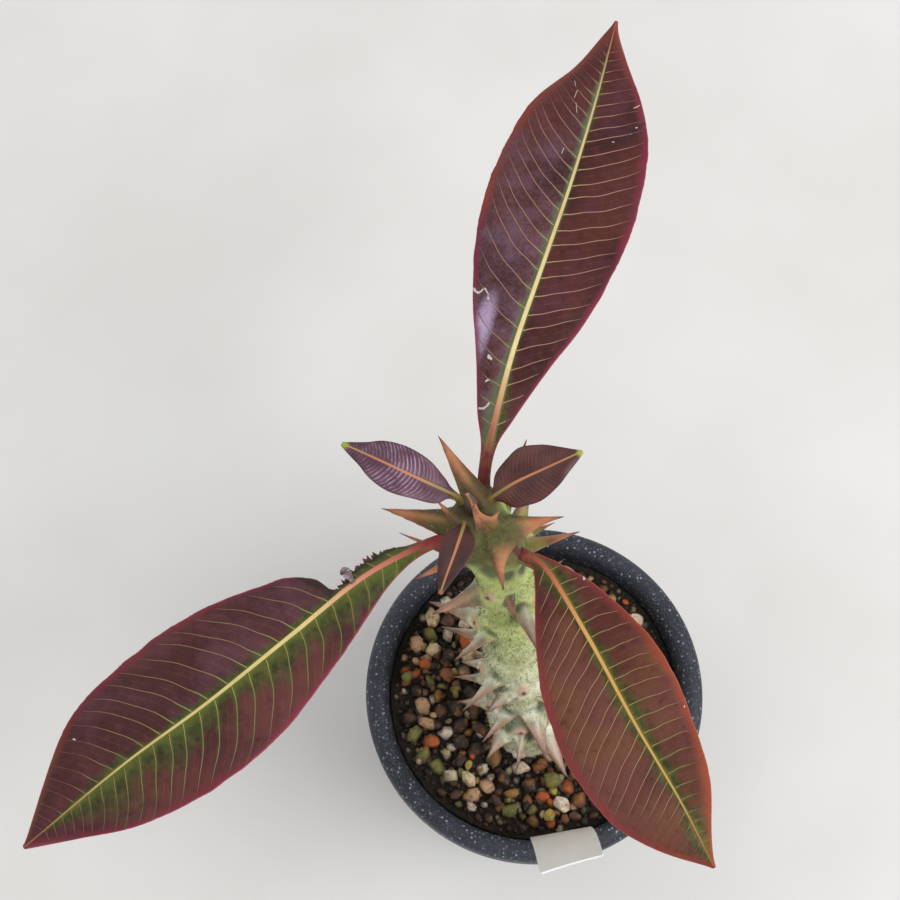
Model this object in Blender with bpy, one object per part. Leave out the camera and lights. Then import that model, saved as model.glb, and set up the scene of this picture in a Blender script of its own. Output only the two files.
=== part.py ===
"""Potted pachypodium: a young thorny succulent with three long leaves in a round nursery pot.

Sizes are in millimetres and become metres in mesh_object. The origin is the middle of the pot's underside.
"""

import math
import random

import bmesh
import bpy
import numpy as np
from mathutils import Matrix, Vector

MM = 0.001
CLEARANCE = 0.3
UP = Vector((0, 0, 1))
EAST = Vector((1, 0, 0))

# Pot
POT_HEIGHT = 78.0
RIM_RADIUS = 45.0
RIM_WIDTH = 5.8
RIM_CROWN = 3.0
RIM_STEPS = 6
SKIRT_DROP = 9.5
SKIRT_WALL = 1.5
GROOVE_ROOF = 0.5
BASE_RADIUS = 32.0
WALL = 1.8
FLOOR_CORNER = 2.0
POT_SIDES = 48
DRAIN_HOLES = 8
DRAIN_RADIUS = 3.0
DRAIN_CIRCLE = 20.0

# Soil and its gravel
SOIL_LEVEL = 71.8
SOIL_CLEAR = 0.35
GRAIN_SPACING = 6.3
GRAIN_RADII = (2.3, 3.1)
GRAIN_SCATTER = 1.1
GRAIN_LENGTH = 1.12
GRAIN_FLATNESS = 0.72
GRAIN_SEED = 9
STEM_MARGIN = 1.2

# Trunk: the middle of the stem from its foot in the soil to the crown, with its radius there
STEM = (
    (-0.6, -9.0, 57.0, 8.8),
    (-1.9, -5.6, 72.0, 10.2),
    (-4.2, 0.7, 84.0, 8.3),
    (-6.5, 7.0, 96.0, 7.2),
    (-8.0, 14.1, 111.0, 6.8),
    (-9.6, 19.9, 124.0, 6.7),
    (-12.9, 24.9, 135.0, 6.9),
    (-16.6, 29.0, 143.5, 7.0),
)
CROWN_RISE = 5.6
STEM_SIDES = 20
STEM_RINGS = 22
CROWN_RINGS = 3

# Tubercles: height of the leaf or leaf scar, its bearing from +X, how far it bulges, the length of its
# two thorns and how steeply they rise
TUBERCLES = (
    (142.0, 88, 2.6, 18.0, 28),
    (141.0, 204, 2.6, 17.0, 10),
    (139.5, 322, 2.6, 14.0, 0),
    (133.0, 35, 3.0, 13.5, 12),
    (131.0, 142, 2.6, 12.5, 10),
    (126.0, 250, 2.4, 12.5, 4),
    (119.0, 328, 2.2, 10.5, 0),
    (115.0, 75, 2.2, 10.5, 15),
    (108.5, 190, 2.2, 10.5, 6),
    (103.0, 20, 2.1, 9.5, 8),
    (101.0, 135, 2.1, 9.5, 15),
    (90.5, 284, 2.0, 9.0, -6),
    (93.0, 200, 2.0, 9.0, 4),
    (93.0, 80, 1.8, 8.0, 20),
    (88.0, 345, 1.8, 8.0, 0),
    (89.0, 152, 1.8, 7.0, 15),
    (78.0, 270, 1.8, 8.5, -8),
    (88.0, 40, 1.6, 6.0, 15),
    (82.0, 318, 1.6, 6.5, 0),
    (89.0, 112, 1.6, 6.0, 20),
    (82.5, 218, 1.6, 7.0, 0),
)
LEAFY_TUBERCLES = 3
BUMP_SPREAD = 34.0
BUMP_ABOVE = 3.4
BUMP_BELOW = 6.2
THORN_SPREAD = 30.0
THORN_TURN = 6.0
THORN_SLANT = 0.35
THORN_DROP = 2.0
LEAFY_DROP = 5.0
THORN_ROOT = 3.0
THORN_FOOT_WIDTH = 1.6
THORN_WIDTH_SHARE = 0.12
THORN_FOOT_DEPTH = 0.8
THORN_DEPTH_SHARE = 0.06
THORN_WAIST = (0.45, 0.46)
THORN_SIDES = 6
MIDDLE_THORN = 0.6
SCAR_TILT = 0.5
SCAR_RADIUS = 1.7
SCAR_HEIGHT = 0.45
SCAR_SIDES = 8

# Thorns that grew otherwise: tubercle and side, then heading from +X, climb from level and length
THORN_FORMS = {
    (0, -1): (69, 33, 17.3),
    (0, 1): (120, 33, 20.0),
    (1, -1): (162, 17, 18.9),
    (1, 0): (159, 13, 16.2),
    (1, 1): (207, 7, 14.1),
    (2, -1): (281, -4, 8.0),
    (2, 1): (17, 16, 10.9),
    (3, -1): (13, 22, 12.4),
    (3, 0): (20, 21, 6.9),
    (4, 1): (185, 5, 6.0),
    (5, -1): (207, 12, 13.0),
    (5, 1): (290, 3, 4.7),
    (8, -1): (168, 13, 13.5),
    (8, 1): (218, 9, 9.8),
    (10, 1): (168, 16, 10.7),
    (11, -1): (220, 2, 6.5),
    (11, 1): (320, -11, 7.5),
    (12, -1): (179, 9, 5.5),
    (12, 1): (221, -8, 10.1),
    (15, 1): (177, 16, 8.4),
    (16, -1): (238, 0, 7.8),
    (16, 0): (258, -14, 8.7),
    (16, 1): (295, -9, 13.2),
    (18, -1): (290, -20, 11.5),
    (20, 1): (223, -11, 8.1),
}

# Scale thorns of the unopened leaves: bearing, length and tilt up from level, all on the crown
SCALES = ((15, 7.5, 26), (315, 6.5, 34), (185, 6.0, 30), (150, 7.0, 40), (60, 6.5, 38))
SCALE_WIDTH = 1.7
SCALE_DEPTH = 0.9

# Leaves: midrib points, then half-widths to the left and right of it at distances along it
BLADE = 0.7
THIN_EDGE = 0.45
RIB_TAPER = 0.68
RIB_SHARE = 0.62
BLADE_STEPS = (0.12, 0.55, 1.0)
FLAT_TOP = 0.55
WAVE_LAG = 0.9
LEAVES = {
    "leaf_back": {
        "midrib": (
            (-15.2, 34.0, 142.0), (-14.6, 43.1, 146.6), (-8.6, 67.4, 151.0), (-0.3, 92.0, 153.5),
            (6.8, 113.8, 152.0), (13.9, 138.9, 148.4), (19.8, 163.0, 143.0),
        ),
        "left": (
            (0, 1.6), (12, 1.8), (21, 4.7), (34, 8.4), (47, 13.5), (60, 17.4), (73, 19.1), (86, 19.1),
            (98, 17.2), (111, 12.6), (124, 6.0), (137, 0.5),
        ),
        "right": (
            (0, 1.6), (13, 1.7), (21, 4.2), (34, 9.1), (47, 13.5), (60, 16.5), (73, 17.9), (86, 17.6),
            (98, 16.2), (111, 12.5), (124, 5.5), (137, 0.5),
        ),
        "rib": 1.6, "fold": 9.0, "droop": 2.5, "wave": 1.2, "waves": 4.5, "stations": 22, "roll": 0.0,
    },
    "leaf_left": {
        "midrib": (
            (-20.4, 24.6, 140.4), (-27.3, 23.1, 143.2), (-43.1, 14.2, 146.0), (-60.4, -0.9, 148.5),
            (-79.4, -16.6, 147.6), (-98.4, -30.5, 145.0), (-121.4, -48.0, 136.0),
        ),
        "left": (
            (0, 1.5), (11, 1.8), (19, 3.6), (31, 7.6), (43, 11.3), (55, 14.3), (67, 16.6), (79, 17.3),
            (91, 15.9), (103, 13.0), (115, 7.0), (127.5, 0.5),
        ),
        "right": (
            (0, 1.5), (12, 1.6), (19, 2.7), (25, 2.1), (30, 1.6), (33, 1.8), (35, 5.0), (37, 8.0), (40, 11.0),
            (43, 12.6), (55, 16.9), (67, 18.9), (79, 19.9), (91, 18.6), (103, 15.3), (115, 9.6), (127.5, 0.5),
        ),
        "rib": 1.5, "fold": 7.0, "droop": 2.2, "wave": 1.3, "waves": 4.0, "stations": 22, "roll": 0.0,
        "torn": (30.0, 33.0, 35.0, 37.0),
    },
    "leaf_right": {
        "midrib": (
            (-9.9, 24.2, 138.9), (-5.2, 20.2, 141.6), (-0.1, 15.8, 143.6), (9.3, -1.7, 146.8),
            (19.2, -20.9, 146.5), (29.3, -37.9, 143.3), (37.5, -52.4, 137.0),
        ),
        "left": (
            (0, 1.5), (9, 1.7), (14, 3.6), (22, 7.8), (31, 10.8), (40, 12.8), (49, 13.6), (58, 13.0),
            (67, 11.2), (76, 8.6), (86, 4.2), (95, 0.5),
        ),
        "right": (
            (0, 1.5), (9, 1.8), (14, 4.0), (22, 8.2), (31, 12.4), (40, 15.8), (49, 17.5), (58, 18.3),
            (67, 17.6), (76, 15.4), (86, 9.2), (95, 0.5),
        ),
        "rib": 1.5, "fold": 8.0, "droop": 2.0, "wave": 0.9, "waves": 3.0, "stations": 18, "roll": 3.0,
    },
    "young_leaf_left": {
        "midrib": ((-20.7, 31.9, 146.6), (-22.9, 33.1, 149.6), (-32.6, 36.5, 153.9), (-42.2, 40.3, 156.7),
                   (-48.9, 43.0, 158.0)),
        "left": ((0, 0.9), (4.5, 1.3), (7.5, 3.8), (13, 5.0), (19, 6.0), (25, 5.0), (29, 3.0), (34.5, 0.45)),
        "right": ((0, 0.9), (4.5, 1.3), (7.5, 3.0), (13, 5.1), (19, 5.9), (25, 4.8), (29, 2.9), (34.5, 0.45)),
        "rib": 0.9, "fold": 10.0, "droop": 0.6, "wave": 0.3, "waves": 3.0, "stations": 12, "roll": 0.0,
    },
    "young_leaf_right": {
        "midrib": ((-15.0, 31.7, 146.6), (-12.6, 33.0, 149.6), (-7.9, 35.3, 152.5), (-0.8, 38.0, 155.4),
                   (7.6, 41.6, 157.0)),
        "left": ((0, 0.9), (4, 1.5), (7, 4.4), (11, 6.1), (15, 7.1), (20, 5.8), (24, 3.5), (29, 0.45)),
        "right": ((0, 0.9), (4, 1.6), (7, 5.0), (11, 6.4), (15, 6.7), (20, 5.3), (24, 3.0), (29, 0.45)),
        "rib": 0.9, "fold": 9.0, "droop": 0.6, "wave": 0.3, "waves": 3.0, "stations": 12, "roll": 0.0,
    },
    "young_leaf_front": {
        "midrib": ((-19.8, 27.6, 146.4), (-20.5, 24.4, 149.4), (-22.3, 18.4, 151.9), (-24.0, 13.6, 152.0),
                   (-25.8, 8.7, 150.4)),
        "left": ((0, 0.9), (3.5, 1.4), (6, 3.3), (9, 3.9), (13, 3.2), (17, 1.9), (21, 0.45)),
        "right": ((0, 0.9), (3.5, 1.4), (6, 3.1), (9, 3.9), (13, 3.3), (17, 2.1), (21, 0.45)),
        "rib": 0.9, "fold": 16.0, "droop": 0.5, "wave": 0.2, "waves": 2.0, "stations": 10, "roll": 0.0,
    },
    "bud": {
        "midrib": ((-17.9, 29.7, 146.8), (-18.1, 29.8, 150.0), (-18.6, 30.4, 153.0), (-19.6, 31.4, 156.0)),
        "left": ((0, 0.85), (3, 1.0), (5, 1.4), (8, 1.0), (10.5, 0.45)),
        "right": ((0, 0.85), (3, 1.0), (5, 1.4), (8, 1.0), (10.5, 0.45)),
        "rib": 0.85, "fold": 24.0, "droop": 0.0, "wave": 0.0, "waves": 1.0, "stations": 7, "roll": 150.0,
    },
}
SOCKET_LENGTH = 7.0
SOCKET_SIDES = 10
SOCKET_EASE = 0.15

# Plant label: its run up the pot's front wall as distance from the pot's middle line and height
LABEL_RUN = (
    (34.2, 48.0), (36.2, 62.0), (37.7, 74.0), (38.35, 79.0), (40.6, 92.0), (44.2, 105.0), (49.8, 117.0),
)
LABEL_WIDTH = 16.0
LABEL_THICK = 0.7
LABEL_BEARING = -80.0
LABEL_TWIST = 6.0
LABEL_SHIFT = -2.5
LABEL_POINT = 7.0


def material(name, color, roughness):
    made = bpy.data.materials.new(name)
    made.use_nodes = True
    shader = made.node_tree.nodes["Principled BSDF"]
    shader.inputs["Base Color"].default_value = (*color, 1.0)
    shader.inputs["Roughness"].default_value = roughness
    shader.inputs["Metallic"].default_value = 0.0
    return made


def mesh_object(name, points, faces, finish=None, smooth=True):
    """An object from points in millimetres, its faces turned outwards."""
    mesh = bpy.data.meshes.new(name)
    mesh.from_pydata([tuple(float(value) * MM for value in point) for point in points], [], faces)
    work = bmesh.new()
    work.from_mesh(mesh)
    bmesh.ops.recalc_face_normals(work, faces=work.faces)
    work.to_mesh(mesh)
    work.free()
    made = bpy.data.objects.new(name, mesh)
    bpy.context.scene.collection.objects.link(made)
    if finish:
        mesh.materials.append(finish)
    if smooth:
        mesh.shade_smooth()
        mesh.set_sharp_from_angle(angle=math.radians(40))
    return made


def combine(target, others, operation):
    """One Boolean on a collection of the others, applied, with the others removed."""
    group = bpy.data.collections.new(target.name + "_" + operation.lower())
    bpy.context.scene.collection.children.link(group)
    for other in others:
        group.objects.link(other)
        bpy.context.scene.collection.objects.unlink(other)
    cut = target.modifiers.new(operation.lower(), "BOOLEAN")
    cut.operand_type = "COLLECTION"
    cut.collection = group
    cut.operation = operation
    cut.solver = "EXACT"
    graph = bpy.context.evaluated_depsgraph_get()
    result = bpy.data.meshes.new_from_object(target.evaluated_get(graph))
    target.modifiers.clear()
    target.data = result
    for other in list(group.objects):
        bpy.data.objects.remove(other)
    bpy.data.collections.remove(group)


def keep_main_body(made):
    """Drops the scraps that a cut leaves loose and fills the hollows that a union seals."""
    work = bmesh.new()
    work.from_mesh(made.data)
    bodies = []
    unseen = set(work.verts)
    while unseen:
        body = {unseen.pop()}
        edge_of_body = list(body)
        while edge_of_body:
            vert = edge_of_body.pop()
            for edge in vert.link_edges:
                other = edge.other_vert(vert)
                if other in unseen:
                    unseen.remove(other)
                    body.add(other)
                    edge_of_body.append(other)
        bodies.append(body)
    bodies.sort(key=len)
    scraps = [vert for body in bodies[:-1] for vert in body]
    bmesh.ops.delete(work, geom=scraps, context="VERTS")
    work.to_mesh(made.data)
    work.free()


def turned(name, profile, sides, finish=None):
    """A closed profile of (radius, height) pairs spun round the pot's middle line."""
    points = []
    rings = []
    for radius, height in profile:
        if radius == 0:
            rings.append([len(points)] * sides)
            points.append((0, 0, height))
            continue
        rings.append(list(range(len(points), len(points) + sides)))
        for side in range(sides):
            angle = 2 * math.pi * side / sides
            points.append((radius * math.cos(angle), radius * math.sin(angle), height))
    faces = []
    for lower, upper in zip(rings, rings[1:]):
        for side in range(sides):
            following = (side + 1) % sides
            corners = (lower[side], lower[following], upper[following], upper[side])
            faces.append(tuple(dict.fromkeys(corners)))
    return mesh_object(name, points, faces, finish)


def spline(points, count, extra=()):
    """Points spread evenly along a smooth curve through the given ones, and at some more distances on it."""
    given = np.array(points, float)
    ends = np.vstack([2 * given[0] - given[1], given, 2 * given[-1] - given[-2]])
    dense = []
    for before, start, stop, after in zip(ends, ends[1:], ends[2:], ends[3:]):
        for step in np.linspace(0, 1, 40, endpoint=False):
            dense.append(
                0.5 * (2 * start + (stop - before) * step
                       + (2 * before - 5 * start + 4 * stop - after) * step ** 2
                       + (3 * start - before - 3 * stop + after) * step ** 3)
            )
    dense = np.array(dense + [ends[-2]])
    run = np.r_[0, np.cumsum(np.linalg.norm(np.diff(dense[:, :3], axis=0), axis=1))]
    places = np.sort(np.r_[np.linspace(0, run[-1], count), np.array(extra, float)])
    return np.array([np.interp(places, run, column) for column in dense.T]).T, places


def bridge(rings):
    """Triangles between rings of equal length, each split the same way, with both ends closed."""
    faces = [tuple(reversed(rings[0])), tuple(rings[-1])]
    size = len(rings[0])
    for lower, upper in zip(rings, rings[1:]):
        for side in range(size):
            following = (side + 1) % size
            faces.append((lower[side], lower[following], upper[following]))
            faces.append((lower[side], upper[following], upper[side]))
    return faces


def inner_wall(height):
    """Radius of the pot's inner wall at a height."""
    floor_radius = BASE_RADIUS - WALL
    mouth_radius = RIM_RADIUS - RIM_WIDTH
    rise = (height - WALL) / (POT_HEIGHT - RIM_CROWN - WALL)
    return floor_radius + (mouth_radius - floor_radius) * rise


def make_pot():
    """The moulded pot: tapered wall, flat floor with drain holes, and a rolled rim with a skirt."""
    skirt_foot = POT_HEIGHT - SKIRT_DROP
    groove_top = POT_HEIGHT - RIM_CROWN - GROOVE_ROOF
    wall_top = inner_wall(groove_top) + WALL
    profile = [(0, 0), (BASE_RADIUS - 1, 0), (BASE_RADIUS, 1), (wall_top, groove_top)]
    profile += [(RIM_RADIUS - SKIRT_WALL, groove_top), (RIM_RADIUS - SKIRT_WALL - 0.2, skirt_foot)]
    profile += [(RIM_RADIUS - 0.2, skirt_foot)]
    for step in range(RIM_STEPS + 1):
        angle = math.pi * step / RIM_STEPS
        radius = RIM_RADIUS - RIM_WIDTH / 2 + RIM_WIDTH / 2 * math.cos(angle)
        profile.append((radius, POT_HEIGHT - RIM_CROWN + RIM_CROWN * math.sin(angle)))
    profile += [(inner_wall(WALL + FLOOR_CORNER), WALL + FLOOR_CORNER)]
    profile += [(BASE_RADIUS - WALL - FLOOR_CORNER, WALL), (0, WALL)]
    pot = turned("pot", profile, POT_SIDES, material("pot_plastic", (0.035, 0.042, 0.055), 0.42))
    drills = []
    for hole in range(DRAIN_HOLES):
        angle = 2 * math.pi * hole / DRAIN_HOLES
        drill = turned("drill", [(0, -2), (DRAIN_RADIUS, -2), (DRAIN_RADIUS, WALL + 2), (0, WALL + 2)], 12)
        place = Vector((DRAIN_CIRCLE * math.cos(angle), DRAIN_CIRCLE * math.sin(angle), 0)) * MM
        drill.data.transform(Matrix.Translation(place))
        drills.append(drill)
    combine(pot, drills, "DIFFERENCE")


def stem_frame(along):
    """Middle point, direction and radius of the stem at a fraction of its way to the crown's foot."""
    line, _ = spline(STEM, 101)
    place = along * 100
    row = np.array([np.interp(place, range(101), column) for column in line.T])
    low = max(int(place) - 1, 0)
    high = min(int(place) + 2, 100)
    direction = Vector(line[high][:3] - line[low][:3]).normalized()
    return Vector(row[:3]), direction, float(row[3])


def outward(direction, bearing):
    """Level bearing turned square to the stem's direction."""
    level = Vector((math.cos(math.radians(bearing)), math.sin(math.radians(bearing)), 0))
    return (level - direction * level.dot(direction)).normalized()


def along_at(height):
    """Fraction of the way up the stem where its middle reaches a height."""
    line, _ = spline(STEM, 101)
    return float(np.interp(height, line[:, 2], np.linspace(0, 1, 101)))


def bump(height, bearing):
    """How far the tubercles raise the stem's skin at a height and bearing."""
    raised = 0.0
    for top, middle, bulge, _, _ in TUBERCLES:
        turn = (bearing - middle + 180) % 360 - 180
        rise = height - (top - THORN_DROP)
        reach = BUMP_ABOVE if rise > 0 else BUMP_BELOW
        raised = max(raised, bulge * math.exp(-(turn / BUMP_SPREAD) ** 2 - (rise / reach) ** 2))
    return raised


def skin_point(height, bearing, extra=0.0):
    """Point on the stem's skin, with the way out and the stem's direction there."""
    middle, direction, radius = stem_frame(along_at(height))
    out = outward(direction, bearing)
    return middle + out * (radius + bump(height, bearing) + extra), out, direction


def stem_solid(name, extra, finish=None):
    """The stem with its tubercles and domed crown; extra makes it fatter, to cut its hole in the soil."""
    points = []
    rings = []
    for ring in range(STEM_RINGS):
        middle, direction, radius = stem_frame(ring / (STEM_RINGS - 1))
        rings.append(range(len(points), len(points) + STEM_SIDES))
        for side in range(STEM_SIDES):
            bearing = 360 * side / STEM_SIDES
            reach = radius + bump(middle.z, bearing) + extra
            points.append(middle + outward(direction, bearing) * reach)
    middle, direction, radius = stem_frame(1.0)
    for ring in range(1, CROWN_RINGS):
        angle = math.radians(90 * ring / CROWN_RINGS)
        rings.append(range(len(points), len(points) + STEM_SIDES))
        centre = middle + direction * (CROWN_RISE + extra) * math.sin(angle)
        for side in range(STEM_SIDES):
            bearing = 360 * side / STEM_SIDES
            reach = (radius + bump(middle.z, bearing) + extra) * math.cos(angle)
            points.append(centre + outward(direction, bearing) * reach)
    return mesh_object(name, points, bridge(rings), finish)


def thorn(root, way, across, length, half_width, half_depth):
    """A flattened thorn that narrows quickly, then runs out to its point."""
    thick = way.cross(across).normalized()
    points = []
    rings = []
    for reach, share in ((0.0, 1.0), THORN_WAIST):
        rings.append(range(len(points), len(points) + THORN_SIDES))
        for side in range(THORN_SIDES):
            angle = 2 * math.pi * side / THORN_SIDES
            offset = across * math.cos(angle) * half_width + thick * math.sin(angle) * half_depth
            points.append(root + way * length * reach + offset * share)
    points.append(root + way * length)
    faces = bridge(rings)
    faces.remove(tuple(rings[-1]))
    last = list(rings[-1])
    tip = len(points) - 1
    faces += [(last[side], last[(side + 1) % THORN_SIDES], tip) for side in range(THORN_SIDES)]
    return mesh_object("thorn", points, faces)


def thorn_form(number, side):
    """Heading, climb and length of a tubercle's thorn: by the rule, or its own where it grew otherwise."""
    _, bearing, _, length, rise = TUBERCLES[number]
    by_rule = (bearing + side * (THORN_SPREAD + THORN_TURN), rise, length * (1.0 if side else MIDDLE_THORN))
    return THORN_FORMS.get((number, side), by_rule)


def tubercle_parts(number):
    """The pair of thorns below a leaf or leaf scar, the one between them where it grew, and the scar."""
    height, bearing, _, _, _ = TUBERCLES[number]
    has_leaf = number < LEAFY_TUBERCLES
    parts = []
    for side in (-1, 0, 1):
        if side == 0 and not has_leaf and (number, side) not in THORN_FORMS:
            continue
        drop = THORN_DROP if side or not has_leaf else LEAFY_DROP
        skin, _, up = skin_point(height - drop, bearing + side * THORN_SPREAD)
        heading, climb, length = thorn_form(number, side)
        way = Matrix.Rotation(math.radians(heading), 3, "Z") @ Matrix.Rotation(math.radians(-climb), 3, "Y") @ EAST
        across = way.cross(up).normalized()
        across = (across - up * THORN_SLANT * side).normalized()
        across = (across - way * across.dot(way)).normalized()
        root = skin - way * THORN_ROOT
        half_width = THORN_FOOT_WIDTH + length * THORN_WIDTH_SHARE
        half_depth = THORN_FOOT_DEPTH + length * THORN_DEPTH_SHARE
        parts.append(thorn(root, way, across, length + THORN_ROOT, half_width, half_depth))
    if not has_leaf:
        skin, out, up = skin_point(height, bearing)
        face = (out + up * SCAR_TILT).normalized()
        disc = turned("scar", [(0, -SCAR_RADIUS), (SCAR_RADIUS, -SCAR_RADIUS), (SCAR_RADIUS, SCAR_HEIGHT / 2),
                               (SCAR_RADIUS / 2, SCAR_HEIGHT), (0, SCAR_HEIGHT)], SCAR_SIDES)
        turn = UP.rotation_difference(face).to_matrix().to_4x4()
        disc.data.transform(Matrix.Translation(skin * MM) @ turn)
        parts.append(disc)
    return parts


def socket(name):
    """A round drill for the hole that a leaf's stalk sits in."""
    leaf = LEAVES[name]
    foot = Vector(leaf["midrib"][0])
    way = (Vector(leaf["midrib"][1]) - foot).normalized()
    radius = leaf["left"][0][1] + CLEARANCE + SOCKET_EASE
    start = foot - way * CLEARANCE
    profile = [(0, 0), (radius, 0), (radius, SOCKET_LENGTH), (0, SOCKET_LENGTH)]
    drill = turned("socket", profile, SOCKET_SIDES)
    turn = UP.rotation_difference(way).to_matrix().to_4x4()
    drill.data.transform(Matrix.Translation(start * MM) @ turn)
    return drill


def make_trunk():
    """The succulent stem with its tubercles, thorns, leaf scars and the sockets of its leaves."""
    trunk = stem_solid("trunk", 0.0, material("stem_skin", (0.33, 0.40, 0.22), 0.5))
    parts = []
    for number in range(len(TUBERCLES)):
        parts += tubercle_parts(number)
    for bearing, length, tilt in SCALES:
        skin, out, up = skin_point(STEM[-1][2], bearing)
        way = out * math.cos(math.radians(tilt)) + up * math.sin(math.radians(tilt))
        across = up.cross(out).normalized()
        root = skin - way * THORN_ROOT
        parts.append(thorn(root, way, across, length + THORN_ROOT, SCALE_WIDTH, SCALE_DEPTH))
    combine(trunk, parts, "UNION")
    combine(trunk, [socket(name) for name in LEAVES], "DIFFERENCE")
    keep_main_body(trunk)


def gravel():
    """Grains on a jittered triangular lattice over the soil, clear of the wall."""
    draw = random.Random(GRAIN_SEED)
    grains = []
    row_pitch = GRAIN_SPACING * math.sqrt(3) / 2
    rows = int(RIM_RADIUS / row_pitch) + 1
    reach = inner_wall(SOIL_LEVEL) - SOIL_CLEAR
    foot, _, stem_radius = stem_frame(along_at(SOIL_LEVEL))
    for row in range(-rows, rows + 1):
        for column in range(-rows, rows + 1):
            radius = draw.uniform(*GRAIN_RADII)
            east = (column + 0.5 * (row % 2)) * GRAIN_SPACING + draw.uniform(-GRAIN_SCATTER, GRAIN_SCATTER)
            north = row * row_pitch + draw.uniform(-GRAIN_SCATTER, GRAIN_SCATTER)
            turn = Matrix.Rotation(draw.uniform(0, math.pi), 4, "Z")
            stretch = Matrix.Diagonal((GRAIN_LENGTH, draw.uniform(0.8, 1.0), GRAIN_FLATNESS, 1.0))
            lift = draw.uniform(0.15, 0.3) * radius
            if math.hypot(east, north) + radius * GRAIN_LENGTH > reach:
                continue
            if math.hypot(east - foot.x, north - foot.y) < stem_radius + STEM_MARGIN:
                continue
            work = bmesh.new()
            place = Matrix.Translation(Vector((east, north, SOIL_LEVEL + lift)) * MM) @ turn @ stretch
            bmesh.ops.create_icosphere(work, subdivisions=1, radius=radius * MM, matrix=place)
            mesh = bpy.data.meshes.new("grain")
            work.to_mesh(mesh)
            work.free()
            grain = bpy.data.objects.new("grain", mesh)
            bpy.context.scene.collection.objects.link(grain)
            grains.append(grain)
    return grains


def label_frame(row):
    """Middle point and sideways direction of the label at a row of its run."""
    reach, height = LABEL_RUN[row]
    share = max(0.0, (height - SOIL_LEVEL) / (LABEL_RUN[-1][1] - SOIL_LEVEL))
    bearing = math.radians(LABEL_BEARING)
    out = Vector((math.cos(bearing), math.sin(bearing), 0))
    turned_by = math.radians(LABEL_BEARING + 90 + LABEL_TWIST * share)
    across = Vector((math.cos(turned_by), math.sin(turned_by), 0))
    middle = out * reach + across * LABEL_SHIFT * share
    return Vector((middle.x, middle.y, height)), across


def label_solid(name, extra, finish=None):
    """The bent tag with its pointed foot; extra makes it fatter, to cut its slot in the soil."""
    points = []
    rings = []
    last = len(LABEL_RUN) - 1
    for row in range(last + 1):
        middle, across = label_frame(row)
        before, _ = label_frame(max(row - 1, 0))
        after, _ = label_frame(min(row + 1, last))
        face = (after - before).normalized().cross(across).normalized()
        half = LABEL_WIDTH / 2 - (LABEL_POINT if row == 0 else 0) + extra
        deep = LABEL_THICK / 2 + extra
        shift = (after - before).normalized() * extra * (-1 if row == 0 else 0)
        rings.append(range(len(points), len(points) + 4))
        for wide, thick in ((-1, -1), (1, -1), (1, 1), (-1, 1)):
            points.append(middle + shift + across * half * wide + face * deep * thick)
    return mesh_object(name, points, bridge(rings), finish, smooth=False)


def make_soil():
    """The potting mix that fills the pot, with gravel on top and holes for the stem and the label."""
    clear = SOIL_CLEAR
    bottom = WALL + clear
    profile = [(0, bottom), (BASE_RADIUS - WALL - FLOOR_CORNER - clear, bottom),
               (inner_wall(WALL + FLOOR_CORNER) - clear, WALL + FLOOR_CORNER + clear),
               (inner_wall(SOIL_LEVEL) - clear, SOIL_LEVEL), (0, SOIL_LEVEL)]
    soil = turned("soil", profile, POT_SIDES, material("potting_mix", (0.36, 0.27, 0.17), 0.9))
    combine(soil, gravel(), "UNION")
    combine(soil, [stem_solid("stem_hole", SOIL_CLEAR), label_solid("label_slot", SOIL_CLEAR)], "DIFFERENCE")
    keep_main_body(soil)


def leaf_rings(leaf):
    """Closed cross-sections of a leaf, from its round stalk through the folded blade to its tip."""
    line, run = spline(leaf["midrib"], leaf["stations"], leaf.get("torn", ()))
    widths = {}
    for side in ("left", "right"):
        table, _ = spline(leaf[side], 200)
        widths[side] = np.interp(run / run[-1] * leaf[side][-1][0], table[:, 0], table[:, 1])
    fold = math.tan(math.radians(leaf["fold"]))
    points = []
    rings = []
    for station in range(len(line)):
        before = Vector(line[max(station - 1, 0)])
        after = Vector(line[min(station + 1, len(line) - 1)])
        way = (after - before).normalized()
        share = run[station] / run[-1]
        side_way = way.cross(UP).normalized()
        side_way = Matrix.Rotation(math.radians(leaf["roll"]), 3, way) @ side_way
        normal = side_way.cross(way).normalized()
        rib = leaf["rib"] * (1 - RIB_TAPER * share)
        upper = []
        lower = []
        for side, sign in (("left", -1), ("right", 1)):
            half = max(float(widths[side][station]), THIN_EDGE)
            ridge = min(rib, half * RIB_SHARE)
            spread = max(half - rib, 0.0) / half
            offsets = [ridge * 0.75] + [ridge + (half - ridge) * part for part in BLADE_STEPS]
            if side == "right":
                offsets = [0.0] + offsets
            for offset in offsets:
                edge = offset / half
                round_part = math.sqrt(max(rib ** 2 - (offset * max(rib / half, 1)) ** 2, 0))
                swell = max(round_part - BLADE / 2, 0)
                curl = math.sin(2 * math.pi * leaf["waves"] * share + sign * WAVE_LAG)
                curl *= leaf["wave"] * edge ** 2
                lift = (offset * fold - leaf["droop"] * edge ** 2 + curl) * spread
                middle = Vector(line[station]) + side_way * sign * offset + normal * lift
                top = middle + normal * (BLADE / 2 + swell * (1 - FLAT_TOP * spread))
                bottom = middle - normal * (BLADE / 2 + swell)
                upper.append((sign * offset, top))
                lower.append((sign * offset, bottom))
        upper.sort(key=lambda pair: pair[0])
        lower.sort(key=lambda pair: -pair[0])
        rings.append(range(len(points), len(points) + len(upper) + len(lower)))
        points += [point for _, point in upper + lower]
    return points, rings


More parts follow.
